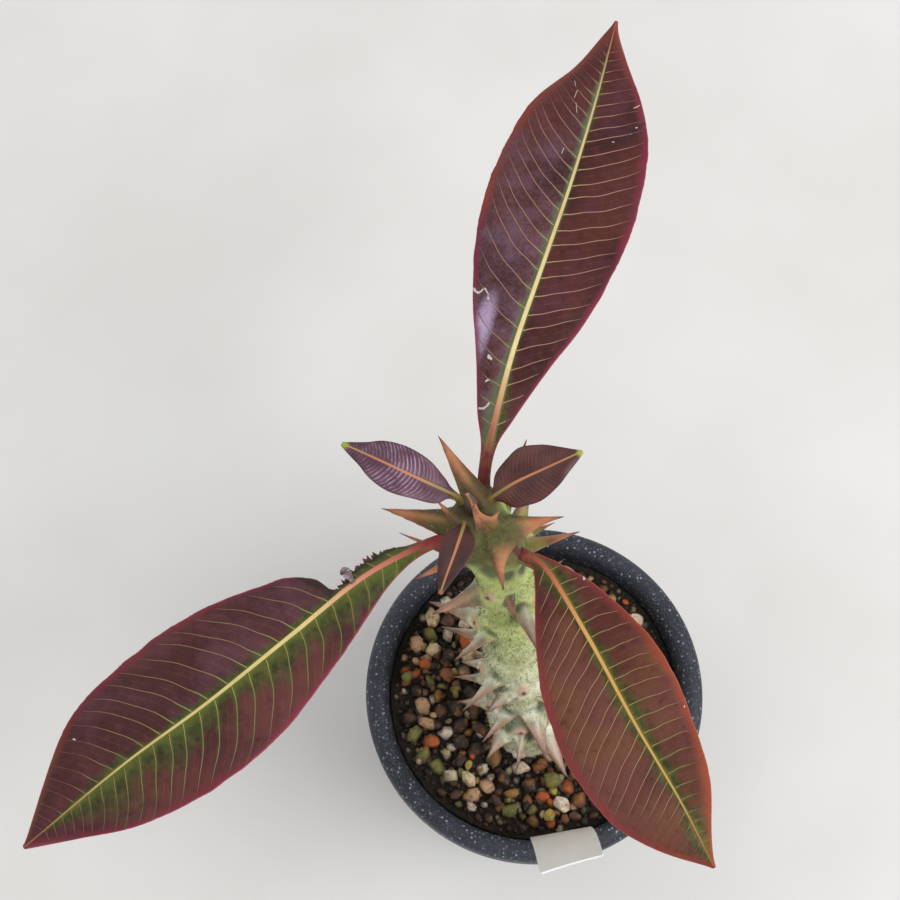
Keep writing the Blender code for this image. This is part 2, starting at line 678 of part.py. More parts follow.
def leaf_faces(rings):
    """Triangles of a leaf, the lower face split along the same diagonals as the upper one."""
    size = len(rings[0])
    half = size // 2
    faces = [tuple(reversed(rings[0])), tuple(rings[-1])]
    for lower, upper in zip(rings, rings[1:]):
        for side in range(size):
            following = (side + 1) % size
            a, b, c, d = lower[side], lower[following], upper[following], upper[side]
            if side < half:
                faces += [(a, b, c), (a, c, d)]
            else:
                faces += [(a, b, d), (b, c, d)]
    return faces


def make_leaves():
    """Each leaf as one body: stalk, thick midrib and waved blade."""
    grown = material("grown_leaf", (0.16, 0.045, 0.05), 0.35)
    young = material("young_leaf", (0.14, 0.05, 0.075), 0.4)
    for name, leaf in LEAVES.items():
        points, rings = leaf_rings(leaf)
        mesh_object(name, points, leaf_faces(rings), grown if name.startswith("leaf") else young)


def main():
    for old in list(bpy.data.objects):
        bpy.data.objects.remove(old)
    make_pot()
    make_soil()
    make_trunk()
    make_leaves()
    label_solid("label", 0.0, material("label_plastic", (0.85, 0.85, 0.83), 0.4))


main()
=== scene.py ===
"""Potted pachypodium: the looks of a young thorny succulent with three long leaves in a round nursery pot.

Sizes are in millimetres and become metres where a mesh is made. The origin is the middle of the pot's foot.
"""

import math
import random

import bmesh
import bpy
import numpy as np
from mathutils import Matrix, Vector, noise


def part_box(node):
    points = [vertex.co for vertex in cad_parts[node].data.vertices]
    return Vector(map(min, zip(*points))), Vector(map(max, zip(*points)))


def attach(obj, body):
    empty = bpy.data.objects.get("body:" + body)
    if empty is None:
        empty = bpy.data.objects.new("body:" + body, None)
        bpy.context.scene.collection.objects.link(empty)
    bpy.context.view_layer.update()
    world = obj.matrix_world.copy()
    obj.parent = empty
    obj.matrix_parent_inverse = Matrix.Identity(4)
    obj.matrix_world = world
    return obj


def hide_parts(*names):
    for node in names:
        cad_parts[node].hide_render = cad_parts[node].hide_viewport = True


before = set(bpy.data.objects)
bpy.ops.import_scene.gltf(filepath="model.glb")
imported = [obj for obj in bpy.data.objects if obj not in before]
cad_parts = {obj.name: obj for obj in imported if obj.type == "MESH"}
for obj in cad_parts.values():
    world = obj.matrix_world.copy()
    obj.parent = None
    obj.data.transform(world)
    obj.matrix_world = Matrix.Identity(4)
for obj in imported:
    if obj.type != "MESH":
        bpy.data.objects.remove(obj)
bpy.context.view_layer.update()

# Pot
# A round nursery pot moulded in one piece: tapered wall, flat floor with drain holes, rim with a skirt.
# The plastic is blue-black, with pale mineral flecks moulded in.
MM = 0.001
POT_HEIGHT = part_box("pot")[1].z / MM
RIM_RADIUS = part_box("pot")[1].x / MM
RIM_WIDTH = 5.8
RIM_CROWN = 3.0
RIM_STEPS = 28
SKIRT_DROP = 9.5
SKIRT_WALL = 1.5
SKIRT_DRAFT = 0.2
SKIRT_LIP = 0.4
GROOVE_ROOF = 0.5
GROOVE_CORNER_WIDTH = 0.4
GROOVE_CORNER_HEIGHT = 0.6
BASE_RADIUS = 32.0
FOOT_FLAT = 1.6
FOOT_CORNER = 1.0
WALL = 1.8
WALL_STEPS = 12
FLOOR_CORNER = 2.0
POT_SIDES = 160
POT_CREASE = 50.0
DRAIN_HOLES = 8
DRAIN_RADIUS = 3.0
DRAIN_CIRCLE = 20.0
DRILL_SIDES = 24
DRILL_OVERRUN = 2


def operator(operation, swapped=False):
    """What a sign such as + does between a wire and a number or another wire."""
    def apply(self, other):
        return self.math(operation, *((other, self) if swapped else (self, other)))

    return apply


class Wire:
    """One output in a node tree. Sums, products and powers on it add Math nodes."""

    def __init__(self, network, socket):
        self.network = network
        self.socket = socket

    def math(self, operation, *values):
        sockets = dict(zip(("Value", "Value_001"), values))
        return self.network.node("ShaderNodeMath", settings={"operation": operation}, **sockets)

    __add__ = operator("ADD")
    __radd__ = operator("ADD", swapped=True)
    __sub__ = operator("SUBTRACT")
    __rsub__ = operator("SUBTRACT", swapped=True)
    __mul__ = operator("MULTIPLY")
    __rmul__ = operator("MULTIPLY", swapped=True)
    __truediv__ = operator("DIVIDE")
    __rtruediv__ = operator("DIVIDE", swapped=True)
    __pow__ = operator("POWER")

    def __abs__(self):
        return self.math("ABSOLUTE", self)

    def within(self, low, high):
        """The value held between two limits."""
        low_held = self.math("MAXIMUM", self, low)
        return low_held.math("MINIMUM", low_held, high)

    def other(self, name):
        """Another output of the same node."""
        return Wire(self.network, self.network.find(self.socket.node.outputs, name))

    def above(self, low, high):
        """0 below low and 1 above high, with a soft step between; turned round where low is the larger."""
        sockets = {"Value": self, "From_Min": low, "From_Max": high}
        soft = {"interpolation_type": "SMOOTHSTEP"}
        return self.network.node("ShaderNodeMapRange", settings=soft, **sockets)


class Network:
    """A node tree under construction, with one way to add any node."""

    def __init__(self, tree):
        self.tree = tree

    def node(self, kind, out=None, settings=None, **values):
        """A new node. In the names of its inputs an underscore may stand for a space."""
        made = self.tree.nodes.new(kind)
        for name, setting in (settings or {}).items():
            setattr(made, name, setting)
        for name, value in values.items():
            self.feed(self.find(made.inputs, name), value)
        return Wire(self, self.find(made.outputs, out) if out else made.outputs[0])

    @staticmethod
    def find(sockets, name):
        for socket in sockets:
            names = (socket.identifier, socket.name)
            if socket.enabled and (name in names or name.replace("_", " ") in names):
                return socket
        raise KeyError(name)

    def feed(self, socket, value):
        if isinstance(value, Wire):
            self.tree.links.new(value.socket, socket)
        else:
            socket.default_value = tone(value) if socket.type == "RGBA" else value

    def split(self, vector):
        """The X, Y and Z of a vector."""
        first = self.node("ShaderNodeSeparateXYZ", "X", Vector=vector)
        return first, first.other("Y"), first.other("Z")

    def vector(self, operation, first, second=None, out="Vector"):
        sockets = {"Vector": first}
        if second is not None:
            sockets["Scale" if operation == "SCALE" else "Vector_001"] = second
        return self.node("ShaderNodeVectorMath", out, {"operation": operation}, **sockets)


class Finish(Network):
    """A material under construction. Its colours are screen values out of 255."""

    def __init__(self, name, **constants):
        self.material = bpy.data.materials.new(name)
        self.material.use_nodes = True
        super().__init__(self.material.node_tree)
        self.shader = self.tree.nodes["Principled BSDF"]
        for socket, value in constants.items():
            self.paint(socket, value)
        self.place = self.node("ShaderNodeTexCoord", "Object")

    def trait(self, name):
        """A number that the mesh carries at its points."""
        return self.node("ShaderNodeAttribute", "Fac", {"attribute_name": name})

    def grain(self, scale, detail=3.0, roughness=0.55):
        """Cloudy noise from 0 to 1, its scale in waves to a metre."""
        sockets = {"Scale": scale, "Detail": detail, "Roughness": roughness}
        return self.node("ShaderNodeTexNoise", Vector=self.place, **sockets)

    def mix(self, factor, first, second):
        sockets = {"Factor_Float": factor, "A_Color": first, "B_Color": second}
        return self.node("ShaderNodeMix", "Result_Color", {"data_type": "RGBA"}, **sockets)

    def ramp(self, factor, *stops, step="LINEAR"):
        made = self.node("ShaderNodeValToRGB", "Color", Fac=factor)
        ramp = made.socket.node.color_ramp
        ramp.interpolation = step
        while len(ramp.elements) < len(stops):
            ramp.elements.new(1.0)
        for element, (position, color) in zip(ramp.elements, stops):
            element.position = position
            element.color = tone(color)
        return made

    def paint(self, socket, value):
        self.feed(self.find(self.shader.inputs, socket), value)

    def base(self, color):
        """Makes a colour the base colour, for others to lie over."""
        self.color = color
        self.paint("Base Color", color)

    def lay(self, factor, color):
        """Lays a colour over the base colour, as strongly as the factor says."""
        self.base(self.mix(factor, self.color, color))

    def emboss(self, height, distance):
        """Relief that is finer than the mesh, its height given in millimetres."""
        relief = self.node("ShaderNodeBump", "Normal", Height=height, Strength=1.0, Distance=distance * MM)
        self.paint("Normal", relief)


def tone(color):
    """A colour from its screen values out of 255, as the light-linear one that a shader takes."""
    linear = []
    for value in color:
        share = value / 255
        linear.append(share / 12.92 if share <= 0.04045 else ((share + 0.055) / 1.055) ** 2.4)
    return (*linear, 1.0)


def keep_numbers(mesh, name, numbers):
    """Numbers at a mesh's points, under the name by which a material or a node tree reads them."""
    made = mesh.attributes.new(name, "FLOAT", "POINT")
    made.data.foreach_set("value", np.asarray(numbers, np.float32))


def surface(name, points, faces, finish=None, traits=None):
    """A smooth mesh object from points in millimetres, with numbers for its material at each point."""
    mesh = bpy.data.meshes.new(name)
    mesh.from_pydata((np.asarray(points, float) * MM).tolist(), [], faces)
    for trait, numbers in (traits or {}).items():
        keep_numbers(mesh, trait, numbers)
    mesh.shade_smooth()
    if finish:
        mesh.materials.append(finish.material)
    work = bmesh.new()
    work.from_mesh(mesh)
    bmesh.ops.recalc_face_normals(work, faces=work.faces)
    work.to_mesh(mesh)
    work.free()
    return shown(name, mesh)


def shown(name, data):
    """An object with the given data, linked into the scene."""
    made = bpy.data.objects.new(name, data)
    bpy.context.scene.collection.objects.link(made)
    return made


def tube_faces(rows, columns, closed=False):
    """Quads round a tube whose rows each hold as many points, and its two ends if it is closed."""
    faces = []
    for low in range(0, (rows - 1) * columns, columns):
        for column in range(columns):
            following = (column + 1) % columns
            faces.append((low + column, low + following, low + columns + following, low + columns + column))
    if closed:
        faces += [tuple(reversed(range(columns))), tuple(range((rows - 1) * columns, rows * columns))]
    return faces


def turned(name, profile, sides, finish=None):
    """A profile of (radius, height) pairs, from the middle line round to it again, spun round that line."""
    points = []
    for radius, height in profile[1:-1]:
        for side in range(sides):
            angle = 2 * math.pi * side / sides
            points.append((radius * math.cos(angle), radius * math.sin(angle), height))
    rows = len(profile) - 2
    faces = tube_faces(rows, sides)
    for end, first in ((profile[0], 0), (profile[-1], (rows - 1) * sides)):
        points.append((0, 0, end[1]))
        for side in range(sides):
            pair = (first + side, first + (side + 1) % sides)
            faces.append((len(points) - 1, *(pair if first else pair[::-1])))
    return surface(name, points, faces, finish)


def applied(made):
    """The object with its mesh as its modifiers leave it, and without the modifiers."""
    graph = bpy.context.evaluated_depsgraph_get()
    result = bpy.data.meshes.new_from_object(made.evaluated_get(graph))
    made.modifiers.clear()
    made.data = result
    return made


def arc(middle, height, radius, start, stop, steps):
    """Points (distance, height) on a round corner, its angles in degrees."""
    angles = np.radians(np.linspace(start, stop, steps))
    return [(middle + radius * math.cos(angle), height + radius * math.sin(angle)) for angle in angles]


def inner_wall(height):
    """Radius of the pot's inner wall at a height."""
    floor_radius = BASE_RADIUS - WALL
    mouth_radius = RIM_RADIUS - RIM_WIDTH
    rise = (height - WALL) / (POT_HEIGHT - RIM_CROWN - WALL)
    return floor_radius + (mouth_radius - floor_radius) * rise


def settle(piece, slot, *nodes):
    """The piece rides with the plant and stands for CAD nodes. The slot is not used."""
    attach(piece, "root")
    if nodes:
        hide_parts(*nodes)


def specks(finish, scale, size, share):
    """Scattered ragged specks: cells in a metre, their size as a share of a cell, how many cells hold one."""
    cell = finish.node("ShaderNodeTexVoronoi", "Distance", Vector=finish.place, Scale=scale)
    chance = finish.node("ShaderNodeSeparateColor", "Red", Color=cell.other("Color"))
    ragged = (finish.grain(scale * 4, 2.0) - 0.5) * 0.5
    return (cell + ragged).above(size + 0.06, size - 0.06) * chance.above(1 - share, 1.04 - share)


pot_finish = Finish("speckled_plastic", Specular_IOR_Level=0.4)
dust = pot_finish.grain(1700.0, 4.0, 0.7)
cloud = pot_finish.grain(60.0, 3.0)
pot_finish.base(pot_finish.mix(cloud.above(0.3, 0.7), (36, 39, 48), (50, 53, 64)))
pot_finish.lay(dust.above(0.5, 0.8) * 0.5, (96, 102, 118))
pot_finish.lay(specks(pot_finish, 1900.0, 0.3, 0.5) * 0.5, (120, 126, 142))
pot_finish.lay(specks(pot_finish, 950.0, 0.26, 0.42) * 0.7, (158, 164, 178))
pot_finish.paint("Roughness", 0.4 + dust * 0.22)
pot_finish.emboss(dust * 0.5 + cloud * 0.3, 0.3)

skirt_foot = POT_HEIGHT - SKIRT_DROP
skirt_round = SKIRT_WALL / 2
groove_top = POT_HEIGHT - RIM_CROWN - GROOVE_ROOF
wall_top = inner_wall(groove_top) + WALL
rim_middle = RIM_RADIUS - RIM_WIDTH / 2
profile = [
    (0, 0), (BASE_RADIUS - FOOT_FLAT, 0),
    *arc(BASE_RADIUS - FOOT_CORNER, FOOT_CORNER, FOOT_CORNER, -80, -5, 6),
    (wall_top, groove_top - GROOVE_CORNER_HEIGHT), (wall_top + GROOVE_CORNER_WIDTH, groove_top),
    (RIM_RADIUS - SKIRT_WALL, groove_top), (RIM_RADIUS - SKIRT_WALL - SKIRT_DRAFT, skirt_foot + SKIRT_LIP),
    *arc(RIM_RADIUS - SKIRT_DRAFT - skirt_round, skirt_foot + skirt_round, skirt_round, 190, 350, 8),
]
for step in range(RIM_STEPS + 1):
    angle = math.pi * step / RIM_STEPS
    reach = rim_middle + RIM_WIDTH / 2 * math.cos(angle)
    profile.append((reach, POT_HEIGHT - RIM_CROWN * (1 - math.sin(angle))))
for height in np.linspace(POT_HEIGHT - RIM_CROWN - 1, WALL + FLOOR_CORNER, WALL_STEPS):
    profile.append((inner_wall(height), height))
profile += [(BASE_RADIUS - WALL - FLOOR_CORNER, WALL), (0, WALL)]
pot = turned("nursery_pot", profile, POT_SIDES, pot_finish)
drill_foot, drill_top = -DRILL_OVERRUN, WALL + DRILL_OVERRUN
drill_profile = [(0, drill_foot), (DRAIN_RADIUS, drill_foot), (DRAIN_RADIUS, drill_top), (0, drill_top)]
drills = []
for hole in range(DRAIN_HOLES):
    angle = 2 * math.pi * hole / DRAIN_HOLES
    drill = turned("drill", drill_profile, DRILL_SIDES)
    place = Vector((DRAIN_CIRCLE * math.cos(angle), DRAIN_CIRCLE * math.sin(angle), 0)) * MM
    drill.data.transform(Matrix.Translation(place))
    drills.append(drill)
    cut = pot.modifiers.new("drain", "BOOLEAN")
    cut.operation = "DIFFERENCE"
    cut.object = drill
applied(pot)
for drill in drills:
    bpy.data.objects.remove(drill)
pot.data.set_sharp_from_angle(angle=math.radians(POT_CREASE))
settle(pot, "pot_plastic", "pot")

# Soil and gravel
# Dark potting soil under loose grains of pumice, baked clay and green-grey grit, from 1 to 7 mm across.
# It is poured round the stem and pressed down a little below the rim; the grains lie loose on it.
SOIL_LEVEL = 71.8
SOIL_CLEAR = 0.35
SOIL_SUNK = 0.8
SOIL_SIDES = 96
SIDE_HEIGHTS = (4.2, 24, 48, SOIL_LEVEL - 1.2)
TOP_RINGS = 46
INMOST_RING = 0.8
HEAP_SCALE = 0.16
HEAP_RISE = 1.4
CRUMB_SCALE = 0.9
CRUMB_RISE = 0.5
CRUMB_SHIFT = Vector((7, 3, 1))
MOST_GRAINS = 1200000.0
GRAIN_CLEAR = 1.2
STEM_CLEAR = 1.5
GRAVEL_LAYERS = (
    {"spacing": 1.75, "smallest": 0.5, "largest": 1.0, "lift": 0.1, "detail": 2, "seed": 11},
    {"spacing": 2.7, "smallest": 1.0, "largest": 1.75, "lift": 0.8, "detail": 2, "seed": 6},
    {"spacing": 4.3, "smallest": 1.7, "largest": 2.9, "lift": 1.6, "detail": 3, "seed": 4},
)
FLAT_DISTANCE = 0.8
ROUNDEST = 1.14
SPLINE_STEPS = 40
# The stem's middle line: east, north and height, then the stem's radius.
STEM = (
    (-0.6, -9.0, 57.0, 8.8), (-1.9, -5.6, 72.0, 10.2), (-4.2, 0.7, 84.0, 8.3), (-6.5, 7.0, 96.0, 7.2),
    (-8.0, 14.1, 111.0, 6.8), (-9.6, 19.9, 124.0, 6.7), (-12.9, 24.9, 135.0, 6.9), (-16.6, 29.0, 143.5, 7.0),
)


def spline(points, count):
    """Points spread evenly along a smooth curve through the given ones, with their distance along it."""
    given = np.array(points, float)
    ends = np.vstack([2 * given[0] - given[1], given, 2 * given[-1] - given[-2]])
    dense = []
    for before, start, stop, after in zip(ends, ends[1:], ends[2:], ends[3:]):
        for step in np.linspace(0, 1, SPLINE_STEPS, endpoint=False):
            dense.append(
                0.5 * (2 * start + (stop - before) * step
                       + (2 * before - 5 * start + 4 * stop - after) * step ** 2
                       + (3 * start - before - 3 * stop + after) * step ** 3)
            )
    dense = np.array(dense + [ends[-2]])
    run = np.r_[0, np.cumsum(np.linalg.norm(np.diff(dense[:, :3], axis=0), axis=1))]
    places = np.linspace(0, run[-1], count)
    return np.array([np.interp(places, run, column) for column in dense.T]).T, places


class Growth(Network):
    """A Geometry Nodes tree with named inputs, whose result is a plain mesh."""

    def __init__(self, name, **inputs):
        super().__init__(bpy.data.node_groups.new(name, "GeometryNodeTree"))
        face = self.tree.interface
        self.sockets = {}
        for label, kind in {"Geometry": "Geometry", **inputs, "finish": "Material"}.items():
            made = face.new_socket(label, in_out="INPUT", socket_type="NodeSocket" + kind)
            self.sockets[label] = made.identifier
        face.new_socket("Geometry", in_out="OUTPUT", socket_type="NodeSocketGeometry")
        self.entry = self.tree.nodes.new("NodeGroupInput")

    def given(self, label):
        return Wire(self, self.entry.outputs[label])

    def draw(self, low, high, seed, kind="FLOAT"):
        """A random number or vector for each point or copy."""
        end, out = ("_001", "Value_001") if kind == "FLOAT" else ("", "Value")
        sockets = {"Min" + end: low, "Max" + end: high, "Seed": seed}
        return self.node("FunctionNodeRandomValue", out, {"data_type": kind}, **sockets)

    def turn(self, angles):
        return self.node("FunctionNodeEulerToRotation", Euler=angles)

    def store(self, geometry, name, value, domain="INSTANCE", kind="FLOAT"):
        """Keeps a number or vector on the geometry under a name."""
        settings = {"data_type": kind, "domain": domain}
        sockets = {"Geometry": geometry, "Name": name, "Value": value}
        return self.node("GeometryNodeStoreNamedAttribute", None, settings, **sockets)

    def stored(self, name, kind="FLOAT"):
        return self.node("GeometryNodeInputNamedAttribute", "Attribute", {"data_type": kind}, Name=name)

    def end(self, geometry):
        geometry = self.node("GeometryNodeRealizeInstances", Geometry=geometry)
        geometry = self.node("GeometryNodeSetShadeSmooth", Geometry=geometry)
        geometry = self.node("GeometryNodeSetMaterial", Geometry=geometry, Material=self.given("finish"))
        self.feed(self.tree.nodes.new("NodeGroupOutput").inputs["Geometry"], geometry)

    def grow(self, host, finish, **values):
        """What the tree makes of the host's mesh, as a new object; the host stays as it was."""
        made = shown(self.tree.name, host.data.copy())
        modifier = made.modifiers.new(self.tree.name, "NODES")
        modifier.node_group = self.tree
        for label, value in {**values, "finish": finish.material}.items():
            modifier[self.sockets[label]] = value
        made.data.update()
        return applied(made)


def joined(name, *parts):
    """One object out of several, which keeps their materials in order."""
    with bpy.context.temp_override(active_object=parts[0], selected_editable_objects=list(parts)):
        bpy.ops.object.join()
    parts[0].name = parts[0].data.name = name
    return parts[0]


soil_finish = Finish("dark_soil", Roughness=0.95)
crumb = soil_finish.grain(900.0, 6.0, 0.7)
soil_finish.base(soil_finish.ramp(crumb, (0.35, (20, 16, 13)), (0.62, (58, 46, 34))))
soil_finish.emboss(crumb, 1.2)

grit_finish = Finish("gravel", Coat_Weight=0.2, Coat_Roughness=0.3)
kinds = (
    (0.0, (244, 228, 204)), (0.09, (212, 168, 128)), (0.2, (230, 208, 162)), (0.28, (204, 94, 38)),
    (0.35, (154, 92, 50)), (0.48, (184, 166, 80)), (0.57, (88, 56, 38)), (0.67, (124, 124, 62)),
    (0.76, (50, 36, 28)), (0.86, (170, 122, 56)), (0.94, (224, 202, 174)),
)
grit_finish.base(grit_finish.ramp(grit_finish.trait("kind"), *kinds, step="CONSTANT"))
blotch = grit_finish.grain(420.0, 4.0, 0.65)
pores = grit_finish.grain(2400.0, 3.0, 0.7)
grit_finish.lay(blotch.above(0.5, 0.66) * 0.8, (158, 104, 46))
grit_finish.lay(blotch.above(0.46, 0.28) * 0.75, (66, 56, 30))
grit_finish.lay(pores.above(0.5, 0.3) * 0.4, (56, 42, 30))
_, _, level = grit_finish.split(grit_finish.place)
# Painted shade: the grains darken towards the soil, in the gaps between them.
gap_shade = (level / MM).above(SOIL_LEVEL + 1.8, SOIL_LEVEL - 0.4)
grit_finish.lay(gap_shade * 0.93, (22, 16, 12))
grit_finish.paint("Roughness", 0.5 + pores * 0.4)
grit_finish.emboss(pores + blotch, 0.4)

bottom = WALL + SOIL_CLEAR
top = SOIL_LEVEL - SOIL_SUNK
soil_edge = inner_wall(SOIL_LEVEL) - SOIL_CLEAR
profile = [(0, bottom), (BASE_RADIUS - WALL - FLOOR_CORNER, bottom)]
profile += [(inner_wall(height) - SOIL_CLEAR, height) for height in SIDE_HEIGHTS]
profile += [(radius, top) for radius in np.linspace(soil_edge, INMOST_RING, TOP_RINGS)] + [(0, top)]
soil = turned("soil_bed", profile, SOIL_SIDES, soil_finish)
for vertex in soil.data.vertices:
    if vertex.co.z > (SOIL_LEVEL - 1) * MM:
        heap = noise.noise(vertex.co / MM * HEAP_SCALE)
        crumb = noise.noise(vertex.co / MM * CRUMB_SCALE + CRUMB_SHIFT)
        vertex.co.z += (heap * HEAP_RISE + crumb * CRUMB_RISE) * MM

gravel = Growth(
    "gravel_layer", spacing="Float", smallest="Float", largest="Float", lift="Float", detail="Int",
    edge="Float", seed="Int",
)
place = gravel.node("GeometryNodeInputPosition")
east, north, level = gravel.split(place)
foot_x, foot_y, _, foot_radius = STEM[1]
from_middle = (east ** 2 + north ** 2) ** 0.5
from_stem = ((east - foot_x * MM) ** 2 + (north - foot_y * MM) ** 2) ** 0.5
on_top = level.math("GREATER_THAN", level, (SOIL_LEVEL - 3) * MM)
inside = from_middle.math("LESS_THAN", from_middle, gravel.given("edge"))
outside = from_stem.math("GREATER_THAN", from_stem, (foot_radius - STEM_CLEAR) * MM)
scatter = gravel.node(
    "GeometryNodeDistributePointsOnFaces", "Points", {"distribute_method": "POISSON"},
    Mesh=gravel.given("Geometry"), Selection=on_top * inside * outside, Distance_Min=gravel.given("spacing"),
    Density_Max=MOST_GRAINS, Seed=gravel.given("seed"),
)
# Each grain starts as a ball. Every point of it is drawn to the flat that faces its nearest cell of a
# pattern, which differs from grain to grain, so the ball becomes an angular stone.
ball = gravel.node("GeometryNodeMeshIcoSphere", "Mesh", Radius=1.0, Subdivisions=gravel.given("detail"))
ball = gravel.store(ball, "facing", place, "POINT", "FLOAT_VECTOR")
size = gravel.draw(gravel.given("smallest"), gravel.given("largest"), 1)
squash = gravel.draw((0.95, 0.7, 0.6), (1.25, 0.95, 0.85), 2, "FLOAT_VECTOR")
turn = gravel.draw((-0.6, -0.6, 0.0), (0.6, 0.6, 6.28), 3, "FLOAT_VECTOR")
lift = gravel.node("ShaderNodeCombineXYZ", Z=gravel.draw(0.0, gravel.given("lift"), 4) * MM)
raised = gravel.node("GeometryNodeSetPosition", Geometry=scatter, Offset=lift)
grains = gravel.node(
    "GeometryNodeInstanceOnPoints", Points=raised, Instance=ball, Scale=gravel.vector("SCALE", squash, size),
    Rotation=gravel.turn(turn),
)
grains = gravel.store(grains, "kind", gravel.draw(0.0, 1.0, 5))
grains = gravel.store(grains, "centre", place, "INSTANCE", "FLOAT_VECTOR")
grains = gravel.node("GeometryNodeRealizeInstances", Geometry=grains)
facing = gravel.stored("facing", "FLOAT_VECTOR")
own = gravel.node("ShaderNodeCombineXYZ", X=gravel.stored("kind") * 97.0, Y=3.0, Z=8.0)
seen_from = gravel.vector("ADD", facing, own)
cell = gravel.node("ShaderNodeTexVoronoi", "Position", Vector=seen_from, Scale=1.0)
flat = gravel.vector("NORMALIZE", gravel.vector("SUBTRACT", cell, own))
reach = (FLAT_DISTANCE / gravel.vector("DOT_PRODUCT", facing, flat, "Value")).within(FLAT_DISTANCE, ROUNDEST)
centre = gravel.stored("centre", "FLOAT_VECTOR")
arm = gravel.vector("SCALE", gravel.vector("SUBTRACT", place, centre), reach)
chipped = gravel.vector("ADD", centre, arm)
gravel.end(gravel.node("GeometryNodeSetPosition", Geometry=grains, Position=chipped))

layers = [soil]
for layer in GRAVEL_LAYERS:
    lengths = {name: layer[name] * MM for name in ("spacing", "smallest", "largest")}
    edge = (soil_edge - layer["largest"] * GRAIN_CLEAR) * MM
    layers.append(gravel.grow(soil, grit_finish, **{**layer, **lengths}, edge=edge))
bed = joined("soil_and_gravel", *layers)
settle(bed, "potting_mix", "soil")

# Trunk
# The water-storing stem, one living piece: green skin raised in tubercles, each with two thorns below a scar.
# Thorns are drawn out of the skin itself, green at the root, orange and papery further out, brown at the tip.
EAST = Vector((1, 0, 0))
STEM_FOOT = 64.0
CROWN_RISE = 5.6
STEM_SIDES = 176
STEM_RINGS = 350
CROWN_RINGS = 30
STEM_POINTS = 401
# Height and bearing, how far the skin bulges, then the length and the climb of the thorns.
TUBERCLES = (
    (142.0, 88, 2.6, 18.0, 28), (141.0, 204, 2.6, 17.0, 10), (139.5, 322, 2.6, 14.0, 0),
    (133.0, 35, 3.0, 13.5, 12), (131.0, 142, 2.6, 12.5, 10), (126.0, 250, 2.4, 12.5, 4),
    (119.0, 328, 2.2, 10.5, 0), (115.0, 75, 2.2, 10.5, 15), (108.5, 190, 2.2, 10.5, 6),
    (103.0, 20, 2.1, 9.5, 8), (101.0, 135, 2.1, 9.5, 15), (90.5, 284, 2.0, 9.0, -6),
    (93.0, 200, 2.0, 9.0, 4), (93.0, 80, 1.8, 8.0, 20), (88.0, 345, 1.8, 8.0, 0),
    (89.0, 152, 1.8, 7.0, 15), (78.0, 270, 1.8, 8.5, -8), (88.0, 40, 1.6, 6.0, 15),
    (82.0, 318, 1.6, 6.5, 0), (89.0, 112, 1.6, 6.0, 20), (82.5, 218, 1.6, 7.0, 0),
)
LEAFY_TUBERCLES = 3
BUMP_SPREAD = 34.0
BUMP_ABOVE = 3.4
BUMP_BELOW = 6.2
THORN_SPREAD = 30.0
THORN_TURN = 6.0
THORN_SLANT = 0.35
THORN_DROP = 2.0
LEAFY_DROP = 5.0
MIDDLE_THORN = 0.45
MIDDLE_WIDTH = 0.6
CROWN_TUBERCLES = 5
CROWN_THORN = {"foot": 2.1, "foot_share": 0.15, "power": 1.7, "upper": 0.75, "lower": 0.5}
STEM_THORN = {"foot": 1.6, "foot_share": 0.26, "power": 2.0, "upper": 0.7, "lower": 0.4}
SCALE_THORN = {"power": 1.1, "upper": 0.6, "lower": 0.5}
THORN_REACH = 1.6
THORN_MISSED = 0.5
BLEND = 4.0
BARELY = 1e-9
KEEL = 1.3
KEEL_WIDTH = 0.2
KEEL_START = 0.25
EDGE_WIDTH = 0.18
EDGE_OFF_KEEL = (0.09, 0.24)
EDGE_START = (0.05, 0.175)
RIDGE_WIDTH = 0.7
RIDGE_RISE = 0.6
SCAR_RADIUS = 1.5
SCAR_RISE = 0.25
SCAR_DIMPLE = 0.4
DIMPLE_RADIUS = 0.45
NO_SCAR = 9.0
RELIEF_CAP = 5.0
RELIEF_ROUNDS = 6
RELIEF_SPAN = 4
# Thorns measured one by one: tubercle and side, then bearing, climb and length.
THORN_FORMS = {
    (0, -1): (69, 33, 17.3), (0, 1): (120, 33, 20.0), (1, -1): (162, 17, 18.9), (1, 0): (159, 13, 16.2),
    (1, 1): (207, 7, 14.1), (2, -1): (281, -4, 8.0), (2, 1): (17, 16, 10.9), (3, -1): (13, 22, 12.4),
    (3, 0): (20, 21, 6.9), (4, 1): (185, 5, 6.0), (5, -1): (207, 12, 13.0), (5, 1): (290, 3, 4.7),
    (8, -1): (168, 13, 13.5), (8, 1): (218, 9, 9.8), (10, 1): (168, 16, 10.7), (11, -1): (220, 2, 6.5),
    (11, 1): (320, -11, 7.5), (12, -1): (179, 9, 5.5), (12, 1): (221, -8, 10.1), (15, 1): (177, 16, 8.4),
    (16, -1): (238, 0, 7.8), (16, 0): (258, -14, 8.7), (16, 1): (295, -9, 13.2), (18, -1): (290, -20, 11.5),
    (20, 1): (223, -11, 8.1),
}
CROWN_ROOTS = {
    (0, 1): (-17.4, 33.4, 146.6), (1, -1): (-22.9, 27.8, 143.0),
    (2, -1): (-12.4, 22.8, 145.8), (2, 1): (-10.9, 25.8, 146.5),
}
SCALES = (
    ((-15.9, 25.1, 148.4), (-17.6, 29.8, 151.4), 2.5),
    ((-14.8, 25.4, 148.4), (-12.4, 28.0, 151.2), 2.5),
    ((-21.6, 27.0, 147.0), (-26.6, 31.4, 150.0), 2.6),
)
CROWN_DARK_SPOT = (-19.0, 30.4, 148.8)
CROWN_GREEN_SPOT = (-10.0, 25.0, 146.6)
PIT_DEPTH = 2.6
PIT_RADIUS = 2.6
